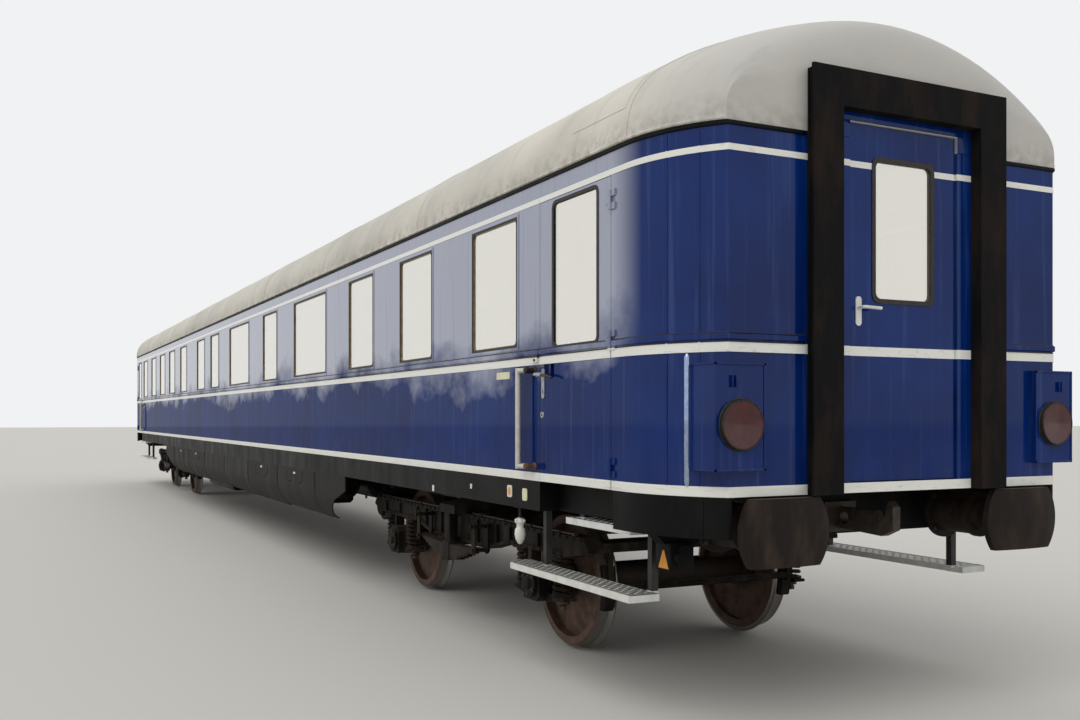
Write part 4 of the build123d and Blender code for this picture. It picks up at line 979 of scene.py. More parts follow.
def makeLeaves():
    # the leaves run in curves between a buckle under the bolster and two hangers from the side beam
    s = leafSettings
    across, top, half = s["half"], s["top"], s["buckle"]
    sag, radius = s["sag"], s["linkRadius"]
    low = top - sag - s["count"] * s["pitch"]
    for sx, body in bogies:
        form, fittings = bmesh.new(), bmesh.new()
        middle = sx * pivotX
        for sy in (-1, 1):
            y = sy * s["y"]
            for leaf in range(s["count"]):
                addLeaf(form, middle, sy, leaf)
            addBlock(fittings, middle, y, half, across + 0.006, low - 0.014, top - sag + 0.016)
            addBlock(fittings, middle, y, half - 0.012, across - 0.01, top - 0.02, s["buckleTop"])
            for way in (-1, 1):
                x = middle + way * s["hanger"]
                link = []
                for (z, reach), start in zip(reversed(s["pins"]), (0, math.pi)):
                    turns = [start + math.pi * i / 8 for i in range(9)]
                    link += [(x + radius * math.cos(t), z + radius * math.sin(t)) for t in turns]
                for side in (-1, 1):
                    edge = y + side * (across + 0.009)
                    addPrism(fittings, "y", link, edge - 0.008, edge + 0.008)
                for z, reach in s["pins"]:
                    ends = [(y + side * (across + reach), s["pinRadius"]) for side in (-1, 1)]
                    addLathe(fittings, "y", (x, z), ends)
        finishPiece(form, "leaves_" + body, springBlack, body, 0.002, replaced=["leaf_springs_" + body[6:]])
        finishPiece(fittings, "leaf_hangers_" + body, bogieBlack, body, 0.003)


makeCoils()
makeLeaves()
print("springs made")

# steps: chequer plate with raised lugs and a white nosing

stepSettings = {
    "pitch": 0.034, "lug": (0.011, 0.003),      # half length and half width of one lug
    "lugRise": [(1, -0.002), (1, 0.0004), (0.7, 0.0022)],       # share of its size, and height
    # treads between the posts: start, end, near and far edge, top
    "treads": {"lower": (10.29, 11.90, 1.205, 1.365, 0.69), "upper": (11.12, 11.85, 1.215, 1.325, 1.06)},
    "nosing": [(10.257, 1.264), (10.379, 1.388), (11.933, 1.388), (11.933, 1.376), (10.384, 1.376),
               (10.26, 1.25)],
    "nosingHeights": (0.652, 0.693),
}


def makeSteps():
    # the lugs stand in a diamond weave
    half, narrow = stepSettings["lug"]
    pitch = stepSettings["pitch"]
    for name, (start, end, near, far, top) in stepSettings["treads"].items():
        places = []
        for column in range(int((end - start) / pitch)):
            for row in range(int((far - near) / pitch) + 1):
                x, y = start + (column + 0.5) * pitch, near + row * pitch
                turn = 45 if (column + row) % 2 else -45
                places += [((sx * x, sy * y, top), (0, 0, turn)) for sx, sy in corners]
        form = bmesh.new()
        addSkin(form, [[(a * s, b * s, z) for a, b in ((-half, 0), (0, -narrow), (half, 0), (0, narrow))]
                       for s, z in stepSettings["lugRise"]])
        repeatShape(form, "lugs_" + name, chequers[name], places, looseTurn=0.04, seed=3)
    form = bmesh.new()
    for sx, sy in corners:
        outline = [(sx * a, sy * b) for a, b in stepSettings["nosing"]]
        addPrism(form, "z", outline, *stepSettings["nosingHeights"])
    finishPiece(form, "step_nosings", whiteEnamel)


makeSteps()

# buffers: bolts round the flange of every casing

bufferSettings = {"y": 0.875, "z": 1.088, "flange": 12.0766, "boltCircle": 0.145, "bolt": (0.014, 0.012)}


def boltHead(radius, tall):
    # a hexagon head with its washer, standing up along Z
    form = bmesh.new()
    addLathe(form, "z", (0, 0), [(-0.004, radius * 1.35), (tall * 0.2, radius * 1.35)], 12)
    addLathe(form, "z", (0, 0), [(tall * 0.1, radius), (tall * 0.85, radius), (tall, radius * 0.8)], 6)
    return form


def makeBuffers():
    s = bufferSettings
    reach = s["boltCircle"] * math.sqrt(0.5)
    bolts = [((sx * s["flange"], sy * s["y"] + a * reach, s["z"] + b * reach), (0, 90 * sx, 0))
             for sx, sy in corners for a in (-1, 1) for b in (-1, 1)]
    repeatShape(boltHead(*s["bolt"]), "buffer_bolts", ironDark, bolts, looseTurn=1.0, seed=5)


makeBuffers()

# bogies: rivets, frame ribs, axlebox covers with their bolts, and the bolts through the coil springs

bogieSettings = {
    "recess": 0.022, "rivetPitch": 0.1,
    # rows of rivets along the side beam: start, end, height
    "rivetRows": [(-2.15, 2.15, 0.867), (-1.86, -1.02, 0.738), (1.02, 1.86, 0.738), (-0.6, 0.6, 0.653)],
    "rivet": [(-0.003, 0.0135), (0.002, 0.0135), (0.007, 0.010), (0.009, 0.004)],
    # ribs of the side beam: place on either side of the pivot and height of the foot
    "ribs": [(-1.5, 0.755), (-1.02, 0.755), (-0.78, 0.71), (-0.4, 0.67),
             (0.4, 0.67), (0.78, 0.71), (1.02, 0.755), (1.5, 0.755)],
    "ribHalf": 0.006, "ribTop": 0.852,
    "cover": [(-0.004, 0.05), (0.012, 0.046), (0.018, 0.034)],      # out from the axlebox, radius
    "boltCircle": 0.082, "bolt": (0.011, 0.010),
    "seat": (0.1, 0.075, 0.713, 0.729),     # half length, half width, bottom and top of each spring seat
    "rod": (0.352, 0.73, 0.014),            # bottom, top and radius
    "nut": [(0.345, 0.03), (0.372, 0.03), (0.378, 0.022)],
    "washer": [(0.384, 0.045), (0.402, 0.045)],
}


def makeBogieTrim():
    s = bogieSettings
    recess, (rodLow, rodHigh, rodRadius) = s["recess"], s["rod"]
    halfLong, halfWide, seatLow, seatHigh = s["seat"]
    for sx, body in bogies:
        rivets, bolts = [], []
        form, rods, head = bmesh.new(), bmesh.new(), bmesh.new()
        middle = sx * pivotX
        for sy in (-1, 1):
            turn = (-90 * sy, 0, 0)
            for start, end, z in s["rivetRows"]:
                count = round((end - start) / s["rivetPitch"])
                rivets += [((middle + start + (end - start) * i / count, sy * beamY, z), turn)
                           for i in range(count + 1)]
            for along, foot in s["ribs"]:
                x, half, web = middle + along, s["ribHalf"], sy * (beamY - recess / 2)
                addBox(form, (x - half, web - recess / 2, foot),
                       (x + half, web + recess / 2 - 0.002, s["ribTop"]))
            for x in [sx * axle for axle in axlePlaces]:
                for i in range(6):
                    t, circle = math.radians(30 + 60 * i), s["boltCircle"]
                    spot = (x + circle * math.cos(t), sy * axleboxY, axleZ + circle * math.sin(t))
                    bolts.append((spot, turn))
                addLathe(form, "y", (x, axleZ), [(sy * (axleboxY + out), r) for out, r in s["cover"]])
                for spot in [(x + way * coilSettings["x"], sy * coilSettings["y"]) for way in (-1, 1)]:
                    addBlock(form, *spot, halfLong, halfWide, seatLow, seatHigh)
                    addTube(rods, [(*spot, rodLow), (*spot, rodHigh)], rodRadius, 8)
                    addLathe(rods, "z", spot, s["nut"], 6)
                    addLathe(rods, "z", spot, s["washer"], 20)
        finishPiece(form, "frame_ribs_" + body, bogieBlack, body, 0.002)
        finishPiece(rods, "spring_bolts_" + body, ironDark, body)
        addLathe(head, "z", (0, 0), s["rivet"], 10)
        repeatShape(head, "rivets_" + body, bogieBlack, rivets, body)
        repeatShape(boltHead(*s["bolt"]), "cover_bolts_" + body, ironDark, bolts, body, 1.0, 7)


makeBogieTrim()
print("steps, buffers and bogies trimmed")

# side doors: handle with its plate, lock ring, waist latch, and the ends of the grab rail beside each door

doorSettings = {
    "plate": (10.966, 11.004, 1.8, 1.99), "plateCorner": 0.018,
    "ring": (10.973, 1.697), "ringProfile": [(-0.001, 0.021), (0.006, 0.019)],
    "coreProfile": [(0.005, 0.0085), (0.0075, 0.008)],
    # lever: along the coach, height, out; its hub, its root and its bent arm
    "hub": [(10.985, 1.95, 0), (10.985, 1.95, 0.05)], "hubRadius": 0.014,
    "root": [(10.945, 1.954, 0.045), (11.04, 1.946, 0.045)], "rootRadius": 0.011,
    "arm": [(11.025, 1.948, 0.045), (11.11, 1.94, 0.046), (11.17, 1.925, 0.036)], "armRadius": 0.0095,
    "keyhole": [(10.981, 1.835, 0.004), (10.989, 1.857, 0.0065)],
    "latch": (10.893, 0.034, 2.03, 2.062, 0.019),       # along the coach, half length, bottom, top, out
    "latchPin": (0.045, 0.038, 0.012, 0.007, 0.0085),   # reach behind and ahead, out, above the latch, radius
    "latchBolt": [(0.018, 0.0105), (0.024, 0.0085)],
    "railX": 10.74, "railOut": 0.062, "railEnd": 10.862, "railRadius": 0.01564, "railBend": 0.035,
    "railEnds": [(1.367, "low", rustyIron), (1.983, "high", ironDark)],
    "knob": [(-0.001, 0.027), (0.005, 0.027), (0.011, 0.019), (0.044, 0.019), (0.049, 0.022), (0.061, 0.024),
             (0.071, 0.021), (0.0775, 0.012)],
}


def makeDoorLever(sx, sy, name):
    s, at, body = doorSettings, onSide(sx, sy), "side_door_" + name
    ringX, ringZ = s["ring"]
    plate, lever = bmesh.new(), bmesh.new()
    outline = [(sx * a, b) for a, b in roundFrame(*s["plate"], s["plateCorner"])]
    addPad(plate, sy, outline, -0.001, 0.005)
    addKnob(plate, sx * ringX, sy, ringZ, s["ringProfile"], 24)
    addTube(plate, [at(*spot) for spot in s["root"]], s["rootRadius"], 10, 0.8)
    addTube(plate, [at(*spot) for spot in s["hub"]], s["hubRadius"], 12)
    finishPiece(plate, "door_plate_" + name, zincPlate, body, 0.0012)
    addTube(lever, bendLine([at(*spot) for spot in s["arm"]], 0.03), s["armRadius"], 10, 0.75)
    addKnob(lever, sx * ringX, sy, ringZ, s["coreProfile"], 16)
    addBox(lever, *[at(*spot) for spot in s["keyhole"]])
    finishPiece(lever, "door_lever_" + name, ironDark, body, 0.001)


def makeRailEnds(sx, sy, name):
    s, at = doorSettings, onSide(sx, sy)
    end, out = s["railEnd"], s["railOut"]
    arms = bmesh.new()
    for z, place, knobFinish in s["railEnds"]:
        line = [at(s["railX"], z, out), at(end, z, out), at(end, z, 0)]
        addTube(arms, bendLine(line, s["railBend"]), s["railRadius"], 12)
        knob = bmesh.new()
        addKnob(knob, sx * end, sy, z, s["knob"], 20)
        finishPiece(knob, "rail_knob_" + place + "_" + name, knobFinish)
    finishPiece(arms, "rail_arms_" + name, railPaint)


def makeWaistLatch(sx, sy, name):
    s, at = doorSettings, onSide(sx, sy)
    x, half, low, high, out = s["latch"]
    behind, ahead, pinOut, above, radius = s["latchPin"]
    latch, bolt = bmesh.new(), bmesh.new()
    addPad(latch, sy, roundFrame(sx * x - half, sx * x + half, low, high, 0.008), -0.001, out)
    addTube(bolt, [at(x - behind, high + above, pinOut), at(x + ahead, high + above, pinOut)], radius, 12)
    addKnob(bolt, sx * x, sy, (low + high) / 2, s["latchBolt"], 16)
    finishPiece(latch, "waist_latch_" + name, whiteEnamel, bevel=0.003)
    finishPiece(bolt, "latch_bolt_" + name, ironDark)


for sx, sy in corners:
    for makeFitting in (makeDoorLever, makeRailEnds, makeWaistLatch):
        makeFitting(sx, sy, cornerNames[sx, sy])

# small plates on the right side: blank, only their colours are kept

plateSettings = {
    # middle along the coach, height, half width, half height, how far out, outer finish, inner finish
    "rows": [
        (10.38, 1.963, 0.105, 0.024, 0.004, creamPlate, None),
        (10.486, 1.186, 0.036, 0.040, 0.005, whiteEnamel, orangePlate),
        (10.72, 1.178, 0.034, 0.040, 0.005, creamPlate, None),
        (9.05, 1.12, 0.018, 0.024, 0.004, whiteEnamel, None),
        (9.82, 1.18, 0.014, 0.018, 0.004, whiteEnamel, None),
    ],
    "oval": (0.55, 0.72, 24),       # share of the plate's half width and half height, points
}


def makePlates():
    wide, high, count = plateSettings["oval"]
    for index, (x, z, half, tall, out, finish, inner) in enumerate(plateSettings["rows"]):
        form = bmesh.new()
        outline = roundFrame(x - half, x + half, z - tall, z + tall, min(half, tall) * 0.4)
        addPad(form, -1, outline, -0.001, out)
        finishPiece(form, "plate_%d" % index, finish, bevel=0.0012)
        if inner:
            form = bmesh.new()
            turns = [2 * math.pi * i / count for i in range(count)]
            oval = [(x + half * wide * math.cos(t), z + tall * high * math.sin(t)) for t in turns]
            addPad(form, -1, oval, out - 0.001, out + 0.002)
            finishPiece(form, "plate_centre_%d" % index, inner)


makePlates()

# lamps: tarnished rim and a domed ribbed lens on each housing; edging and two slits on the housings

lampSettings = {
    "y": 1.16, "z": 1.645, "front": endX + 0.04, "depth": 0.026, "radius": 0.13, "sides": 40,
    "rings": 7, "dome": 0.005, "groove": (0.0012, 0.004),
    "housing": (endX - 0.215, endX + 0.04, 1.0, 1.32, 1.41, 1.96),
    "edging": (0.014, 0.002, 0.0045), "sideEdging": 0.012,      # width, sunk and raised
    "slits": [1.193, 1.217], "slit": (0.0035, 0.016, 1.835, 1.895),    # half width, how far out, bottom, top
}


def lensProfile():
    # low ridges one inside the other over a shallow dome
    s = lampSettings
    depth, radius, rings = s["depth"], s["radius"], s["rings"]
    deep, wide = s["groove"]
    line = [(depth - 0.004, radius * 0.95), (depth + 0.003, radius * 0.93)]
    for ring in range(rings, 0, -1):
        edge = radius * 0.92 * ring / rings
        rise = 0.003 + s["dome"] * (1 - (ring / rings) ** 2)
        line += [(depth + rise, edge), (depth + rise - deep, edge - wide)]
    return line + [(depth + 0.008, 0.004)]


def makeLamps():
    s = lampSettings
    lenses, rims, edges = bmesh.new(), bmesh.new(), bmesh.new()
    depth, radius, sides = s["depth"], s["radius"], s["sides"]
    start, end, near, far, low, high = s["housing"]
    wide, sunk, proud = s["edging"]
    flat = s["sideEdging"]
    half, out, slitLow, slitHigh = s["slit"]
    rim = [(-0.001, radius + 0.006), (0.004, radius + 0.006), (0.007, radius + 0.002),
           (depth, radius + 0.001), (depth + 0.005, radius - 0.002), (depth + 0.005, radius * 0.94),
           (depth - 0.004, radius * 0.93)]
    # each edge: from and to along the coach, across it, and up
    boxes = [(end - sunk, end + proud, y0, y1, z0, z1) for y0, y1, z0, z1 in (
        (near, near + wide, low, high), (far - wide, far, low, high),
        (near, far, low, low + wide), (near, far, high - wide, high))]
    boxes += [(start + 0.01, end, far - 0.004, far + proud, z, z + flat) for z in (low, high - flat)]
    for sx, sy in corners:
        centre = (sy * s["y"], s["z"])
        for form, profile in ((lenses, lensProfile()), (rims, rim)):
            addLathe(form, "x", centre, [(sx * (s["front"] + at), r) for at, r in profile], sides)
        for x0, x1, y0, y1, z0, z1 in boxes:
            addBox(edges, (sx * x0, sy * y0, z0), (sx * x1, sy * y1, z1))
        for y in [sy * slit for slit in s["slits"]]:
            addBox(edges, (sx * (end - 0.001), y - half, slitLow), (sx * (end + out), y + half, slitHigh))
    finishPiece(lenses, "lamp_lenses", lampRed, replaced=["tail_lamps"])
    finishPiece(rims, "lamp_rims", lampRim)
    finishPiece(edges, "housing_edges", enamel, bevel=0.0015)


makeLamps()

# seats: upholstered benches in facing pairs, one cushion set and one frame repeated by nodes

benchSettings = {
    "bays": 11, "pitch": 1.96, "facing": 1.56, "middleY": 0.845, "floorZ": 1.33,
    # cushions: middle, half sizes and degrees of lean, from a point on the floor under the seat
    "cushions": [((0.245, 0, 0.385), (0.225, 0.5, 0.062), 0), ((-0.045, 0, 0.79), (0.052, 0.5, 0.37), 9.8)],
    "squareness": 0.22, "rings": 12, "sides": 28,
    # boards of the frame: start and end across, and outline
    "boards": [
        (-0.5, 0.5, [(-0.02, 0), (0.40, 0), (0.43, 0.325), (-0.03, 0.325)]),
        *[(y, y + 0.02, [(-0.1, 0), (0.42, 0), (0.47, 0.33), (0.46, 0.40), (0.05, 0.42), (0.02, 0.6),
                         (-0.09, 1.17), (-0.16, 1.17)]) for y in (-0.515, 0.495)],
        (-0.496, 0.496, [(-0.19, 1.16), (-0.14, 1.18), (-0.09, 1.16), (0.035, 0.34), (-0.055, 0.34)]),
    ],
}


def addCushion(form, centre, half, lean):
    # a box with full rounded edges and slightly crowned faces
    power, rings, sides = benchSettings["squareness"], benchSettings["rings"], benchSettings["sides"]
    turn = Matrix.Rotation(math.radians(-lean), 3, "Y")

    def bulge(value):
        return math.copysign(abs(value) ** power, value)

    rows = []
    for i in range(1, rings):
        up = math.radians(-90 + 180 * i / rings)
        row = []
        for k in range(sides):
            t = 2 * math.pi * (k + 0.5) / sides
            spot = Vector((half[0] * bulge(math.cos(up)) * bulge(math.cos(t)),
                           half[1] * bulge(math.cos(up)) * bulge(math.sin(t)), half[2] * bulge(math.sin(up))))
            row.append(Vector(centre) + turn @ spot)
        rows.append(row)
    addSkin(form, rows)


def makeSeats():
    s = benchSettings
    places = []
    for bay in range(s["bays"]):
        x = (bay - (s["bays"] - 1) / 2) * s["pitch"]
        for way, turn in ((-1, 0), (1, 180)):
            for sy in (-1, 1):
                spot = (x + way * s["facing"] / 2, sy * s["middleY"], s["floorZ"])
                places.append((spot, (0, 0, turn)))
    form, boards = bmesh.new(), bmesh.new()
    for cushion in s["cushions"]:
        addCushion(form, *cushion)
    cushions = repeatShape(form, "bench_cushions", moquette, places, seed=2, smooth=60, replaced=["seats"])
    for start, end, outline in s["boards"]:
        addPrism(boards, "y", outline, start, end)
    repeatShape(boards, "bench_frames", beech, places, seed=2, bevel=0.004)


makeSeats()
print("fittings, lamps and seats made")

# roof details: lap joints across the skin, a sealed edge along the gutter, and a patch

roofTrim = {
    "seamEvery": 2.9, "seamsTo": 11.5, "seamHalf": 0.02, "seamRise": 0.0035, "endSeam": 0.6,
    "patch": (11.35, 11.95, 0.12, 0.30),     # along the coach, and share of the section's points
    "patchRise": 0.003, "sunk": 0.004,
    "edgeSteps": 60, "edgeCrowding": 1.6,    # the steps crowd towards the domes
    # the sealed edge: out from the roof's side and above the eaves, and share of the wave
    "edge": [(-0.004, 0.004, 0), (0.0045, 0.005, 0), (0.0035, 0.018, 1), (-0.004, 0.024, 1)],
    "waves": [(0.004, 9.7, 0), (0.003, 23.1, 1), (0.002, 61, 0)],
}


def roofSection(x, out):
    # the roof's outer line at any place along the coach
    back = endX - abs(x)
    row = roofSettings["middle"]
    if back < domeLine[0][0]:
        near, far = next((a, b) for a, b in zip(domeLine[1:], domeLine) if a[0] <= back)
        t = (back - near[0]) / max(1e-6, far[0] - near[0])
        row = [a + (b - a) * t for a, b in zip(near[1:], far[1:])]
    return roofArc(x, *row, out)


def addRoofStrip(form, start, end, first, last, rise, steps=1):
    # a raised strip over part of the roof: from start to end along it, between two points of its sections
    def row(x, out):
        return [(x, y, z) for y, z in roofSection(x, out)[first:last]]

    sunk = -roofTrim["sunk"]
    stations = [start + (end - start) * i / steps for i in range(steps + 1)]
    low, high = [row(x, sunk) for x in stations], [row(x, rise) for x in stations]
    addSkin(form, [low[0], *high, low[-1]], False, False)
    for side in (0, -1):
        addSkin(form, [[points[side] for points in line] for line in (low, high)], False, False)


def makeRoofTrim():
    s = roofTrim
    seams, edges = bmesh.new(), bmesh.new()
    half, rise, every = s["seamHalf"], s["seamRise"], s["seamEvery"]
    start, end, low, high = s["patch"]
    total, steps, endSeam = roofSettings["arcPoints"] + 1, s["edgeSteps"], endX - s["endSeam"]
    count = int(s["seamsTo"] / every)
    for i in range(-count, count + 1):
        addRoofStrip(seams, i * every - half, i * every + half, 1, -1, rise)
    for sx in (-1, 1):
        addRoofStrip(seams, sx * (endSeam - half), sx * (endSeam + half), 1, -1, rise + 0.001)
        addRoofStrip(seams, sx * start, sx * end, int(total * low), int(total * high), s["patchRise"], 3)
    for sx, sy in corners:
        rows = []
        for i in range(steps + 1):
            x = (endX - 0.004) * (1 - (1 - i / steps) ** s["edgeCrowding"])
            wave = sum(size * math.sin(rate * x + shift) for size, rate, shift in s["waves"])
            y = halfWidthAt(x) + roofSettings["overhang"]
            rows.append([(sx * x, sy * (y + out), eavesZ + up + share * wave)
                         for out, up, share in s["edge"]])
        addSkin(edges, rows)
    finishPiece(seams, "roof_seams", lacquer, smooth=50)
    finishPiece(edges, "roof_edge", lacquer, smooth=50)


makeRoofTrim()

# skirts: panel joints, access flaps and their white-edged hand holes

skirtSettings = {
    "top": 1.081, "bend": 0.88, "bottom": 0.58, "tuck": 0.2, "steps": 8, "reach": 0.995,
    "joints": [-5.4, -3.6, -1.8, 0.0, 1.8, 3.6, 5.4], "jointHalf": 0.03, "jointOut": 0.0035,
    "rivetRow": (0.9, 0.042, 5), "rivetAside": 0.017,       # lowest, pitch, count
    "rivet": [(-0.002, 0.0075), (0.0008, 0.0075), (0.003, 0.005), (0.004, 0.002)],
    "flaps": [-4.5, -2.7, 2.7, 4.5], "flapHalf": 0.36, "flapLow": 0.93, "flapHigh": 1.06, "flapRim": 0.008,
    "hingeAside": 0.24, "hinge": (0.03, 0.007),             # half length, radius
    "grip": (0.05, 0.045, 0.022),                           # half length, foot and top below the flap's top
}


def skirtLine(out):
    # the skirt's section from its top down round the bend, out metres outside the sheet
    s = skirtSettings
    drop, tuck = s["bend"] - s["bottom"], s["tuck"]
    radius = (tuck ** 2 + drop ** 2) / (2 * tuck)
    turn = math.atan2(drop, radius - tuck)
    line = [(halfWidth + out, s["top"])]
    for i in range(s["steps"] + 1):
        a = turn * i / s["steps"] * s["reach"]
        line.append((halfWidth - radius + (radius + out) * math.cos(a),
                     s["bend"] - (radius + out) * math.sin(a)))
    return line


def addFlap(flaps, holes, x, sy):
    s, at = skirtSettings, onSide(1, sy)
    half, low, high, rim = s["flapHalf"], s["flapLow"], s["flapHigh"], s["flapRim"]
    reach, radius = s["hinge"]
    long, foot, top = s["grip"]
    inner = roundFrame(x - half + rim, x + half - rim, low + rim, high - rim, 0.024)
    addFrame(flaps, roundFrame(x - half, x + half, low, high, 0.03), inner, -0.001, 0.003, at)
    addPad(flaps, sy, inner, -0.001, 0.0015)
    for middle in (x - s["hingeAside"], x + s["hingeAside"]):
        addTube(flaps, [at(middle + end, low - 0.004, 0.004) for end in (-reach, reach)], radius, 8)
    addPad(holes, sy, roundFrame(x - long, x + long, high - foot, high - top, 0.011), -0.001, 0.0045)


def makeSkirtTrim():
    s = skirtSettings
    joints, flaps, holes, head = bmesh.new(), bmesh.new(), bmesh.new(), bmesh.new()
    rivets = []
    half, proud = s["jointHalf"], s["jointOut"]
    lowest, pitch, count = s["rivetRow"]
    for sy in (-1, 1):
        for x in s["joints"]:
            rows = []
            for (a, b), (c, d) in zip(skirtLine(-0.002), skirtLine(proud)):
                section = [(x - half, a, b), (x - half, c, d), (x + half, c, d), (x + half, a, b)]
                rows.append([(along, sy * y, z) for along, y, z in section])
            addSkin(joints, rows)
            for i in range(count):
                for aside in (-s["rivetAside"], s["rivetAside"]):
                    rivets.append((onSide(1, sy)(x + aside, lowest + pitch * i, proud), (-90 * sy, 0, 0)))
        for x in s["flaps"]:
            addFlap(flaps, holes, x, sy)
    finishPiece(joints, "skirt_joints", skirtBlack)
    finishPiece(flaps, "skirt_flaps", skirtBlack)
    finishPiece(holes, "flap_grips", whiteEnamel, bevel=0.002)
    addLathe(head, "z", (0, 0), s["rivet"], 8)
    repeatShape(head, "skirt_rivets", skirtBlack, rivets)


makeSkirtTrim()

# underfloor boxes: lids with hinges, latches and cooling slots; bands and pipes on the tanks

underSettings = {
    # middle and half length of each box, lowest height
    "boxes": [(-4.3, 0.85, 0.56), (-1.9, 1.1, 0.48), (1.5, 1.4, 0.52)],
    "face": 1.15, "top": 1.085,
    "lidLength": 0.9, "lidEdge": 0.05, "lidGap": 0.012, "lidOut": 0.008, "footGap": 0.06,
    "hinge": (0.035, 0.012, 0.004, 0.009),      # half length, out, below the lid's top, radius
    "latch": (0.02, 0.008, 0.02, 0.09),         # half length, half depth, foot and top above the lid's foot
    "slotPitch": 0.045, "slotFoot": 0.13, "slotRoom": 0.2,
    "slot": [[(-0.12, -0.012, -0.001), (0.12, -0.012, -0.001), (0.12, 0.012, -0.001), (-0.12, 0.012, -0.001)],
             [(-0.11, 0.002, 0.01), (0.11, 0.002, 0.01), (0.12, 0.012, 0.001), (-0.12, 0.012, 0.001)]],
    # tanks: middle, half length, distance from the centre line
    "tanks": [(4.15, 0.62, 0.46), (4.15, 0.62, 0.88)], "tankRadius": 0.165, "tankZ": 0.88,
    "bands": [-0.31, 0.31], "bandHalf": 0.022, "bandRise": 0.004,
    "pipe": (0.06, 0.12, 1.1, 0.017),           # start and turn past the tank, top, radius
}


def addLid(lids, metal, sy, start, wide, foot, top):
    s = underSettings
    face, gap = s["face"], s["lidGap"]
    half, hingeOut, under, radius = s["hinge"]
    halfLatch, deep, latchLow, latchHigh = s["latch"]
    outline = roundFrame(start + gap, start + wide - gap, foot, top, 0.02)
    addPrism(lids, "y", outline, sy * (face - 0.001), sy * (face + s["lidOut"]))
    y = sy * (face + hingeOut)
    for share in (0.25, 0.75):
        at = start + wide * share
        addTube(metal, [(at - half, y, top - under), (at + half, y, top - under)], radius, 8)
    addBlock(metal, start + wide / 2, y, halfLatch, deep, foot + latchLow, foot + latchHigh)


def addTankTrim(metal, x, half, y):
    s = underSettings
    z, radius = s["tankZ"], s["tankRadius"]
    outer, broad = radius + s["bandRise"], s["bandHalf"]
    start, turn, top, pipe = s["pipe"]
    for band in s["bands"]:
        addLathe(metal, "x", (y, z), [(x + band - broad, outer), (x + band + broad, outer)], 32)
    line = [(x - half - start, y, z), (x - half - turn, y, z), (x - half - turn, y, top)]
    addTube(metal, bendLine(line, 0.05), pipe, 10)
    addTube(metal, [(x - half + 0.01, y, z), (x - half - start - 0.002, y, z)], 0.026, 12)
    addTube(metal, [(x, y, z - radius + 0.004), (x, y, z - radius - 0.045)], 0.014, 8)


def makeUnderfloorTrim():
    s = underSettings
    lids, metal, slot = bmesh.new(), bmesh.new(), bmesh.new()
    slots = []
    edge, pitch, top = s["lidEdge"], s["slotPitch"], s["top"]
    slotY = s["face"] + s["lidOut"]
    for sy in (-1, 1):
        for x, half, low in s["boxes"]:
            count = max(2, round(2 * half / s["lidLength"]))
            wide = 2 * (half - edge) / count
            foot = low + s["footGap"]
            rows = int((top - edge - foot - s["slotRoom"]) / pitch)
            for i in range(count):
                start = x - half + edge + i * wide
                addLid(lids, metal, sy, start, wide, foot, top - edge)
                if i % 2 == 0:
                    slots += [((start + wide / 2, sy * slotY, foot + s["slotFoot"] + k * pitch),
                               (-90 * sy, 0, 0)) for k in range(rows)]
        for x, half, y in s["tanks"]:
            addTankTrim(metal, x, half, sy * y)
    finishPiece(lids, "box_lids", soleBlack, bevel=0.003)
    finishPiece(metal, "box_fittings", ironDark)
    addSkin(slot, s["slot"])
    repeatShape(slot, "box_slots", soleBlack, slots, bevel=0.001)


makeUnderfloorTrim()

# ends: header over each end door, window strip and handle of the end door

endSettings = {
    "pane": (0.21, 2.33, 3.09), "face": endX - 0.015, "stripOut": (-0.02, 0.005),
    "header": (3.285, 3.335), "headerDepth": (-0.002, 0.004), "opening": (0.402, 0.51),
    "handle": (-0.33, 2.28),        # across the coach and height
    "plate": (0.02, 0.1, 0.06),     # half width, reach below and above the handle
    "grip": (0.05, 0.12, 0.0095),   # how far out, length, radius
}


def makeEnds():
    s = endSettings
    headers = bmesh.new()
    half, low, high = s["pane"]
    headerLow, headerHigh = s["header"]
    jamb, opening = s["opening"]
    face, (y, z) = s["face"], s["handle"]
    wide, below, above = s["plate"]
    out, long, radius = s["grip"]
    outline = roundFrame(-half - 0.022, half + 0.022, low - 0.022, high + 0.022, 0.05)
    inner = roundFrame(-half + 0.004, half - 0.004, low + 0.004, high - 0.004, 0.035)
    plate = roundFrame(y - wide, y + wide, z - below, z + above, 0.018)
    for sx, end in ((1, "front"), (-1, "rear")):
        back, front = [sx * (endX + depth) for depth in s["headerDepth"]]
        addBox(headers, (back, -opening, headerLow), (front, opening, headerHigh))
        for sy in (-1, 1):
            addBox(headers, (back, sy * jamb, eavesZ), (front, sy * opening, headerLow))

        def toPoint(across, up, proud):
            return sx * (face + proud), across, up

        strip, handle = bmesh.new(), bmesh.new()
        addFrame(strip, outline, inner, *s["stripOut"], toPoint)
        finishPiece(strip, "end_strip_" + end, gasket, "end_door_" + end)
        addPrism(handle, "x", plate, sx * face, sx * (face + 0.006))
        line = [toPoint(y, z, 0), toPoint(y, z, out), toPoint(y + long, z - 0.004, out)]
        addTube(handle, bendLine(line, 0.02), radius, 10)
        finishPiece(handle, "end_handle_" + end, whiteEnamel, "end_door_" + end, 0.001)
    finishPiece(headers, "end_headers", enamel, bevel=0.001)


makeEnds()
print("roof, skirts, boxes and ends trimmed")

# small gear below the floor: dummy coupler and socket box at the front right corner, air pipes on the bogies

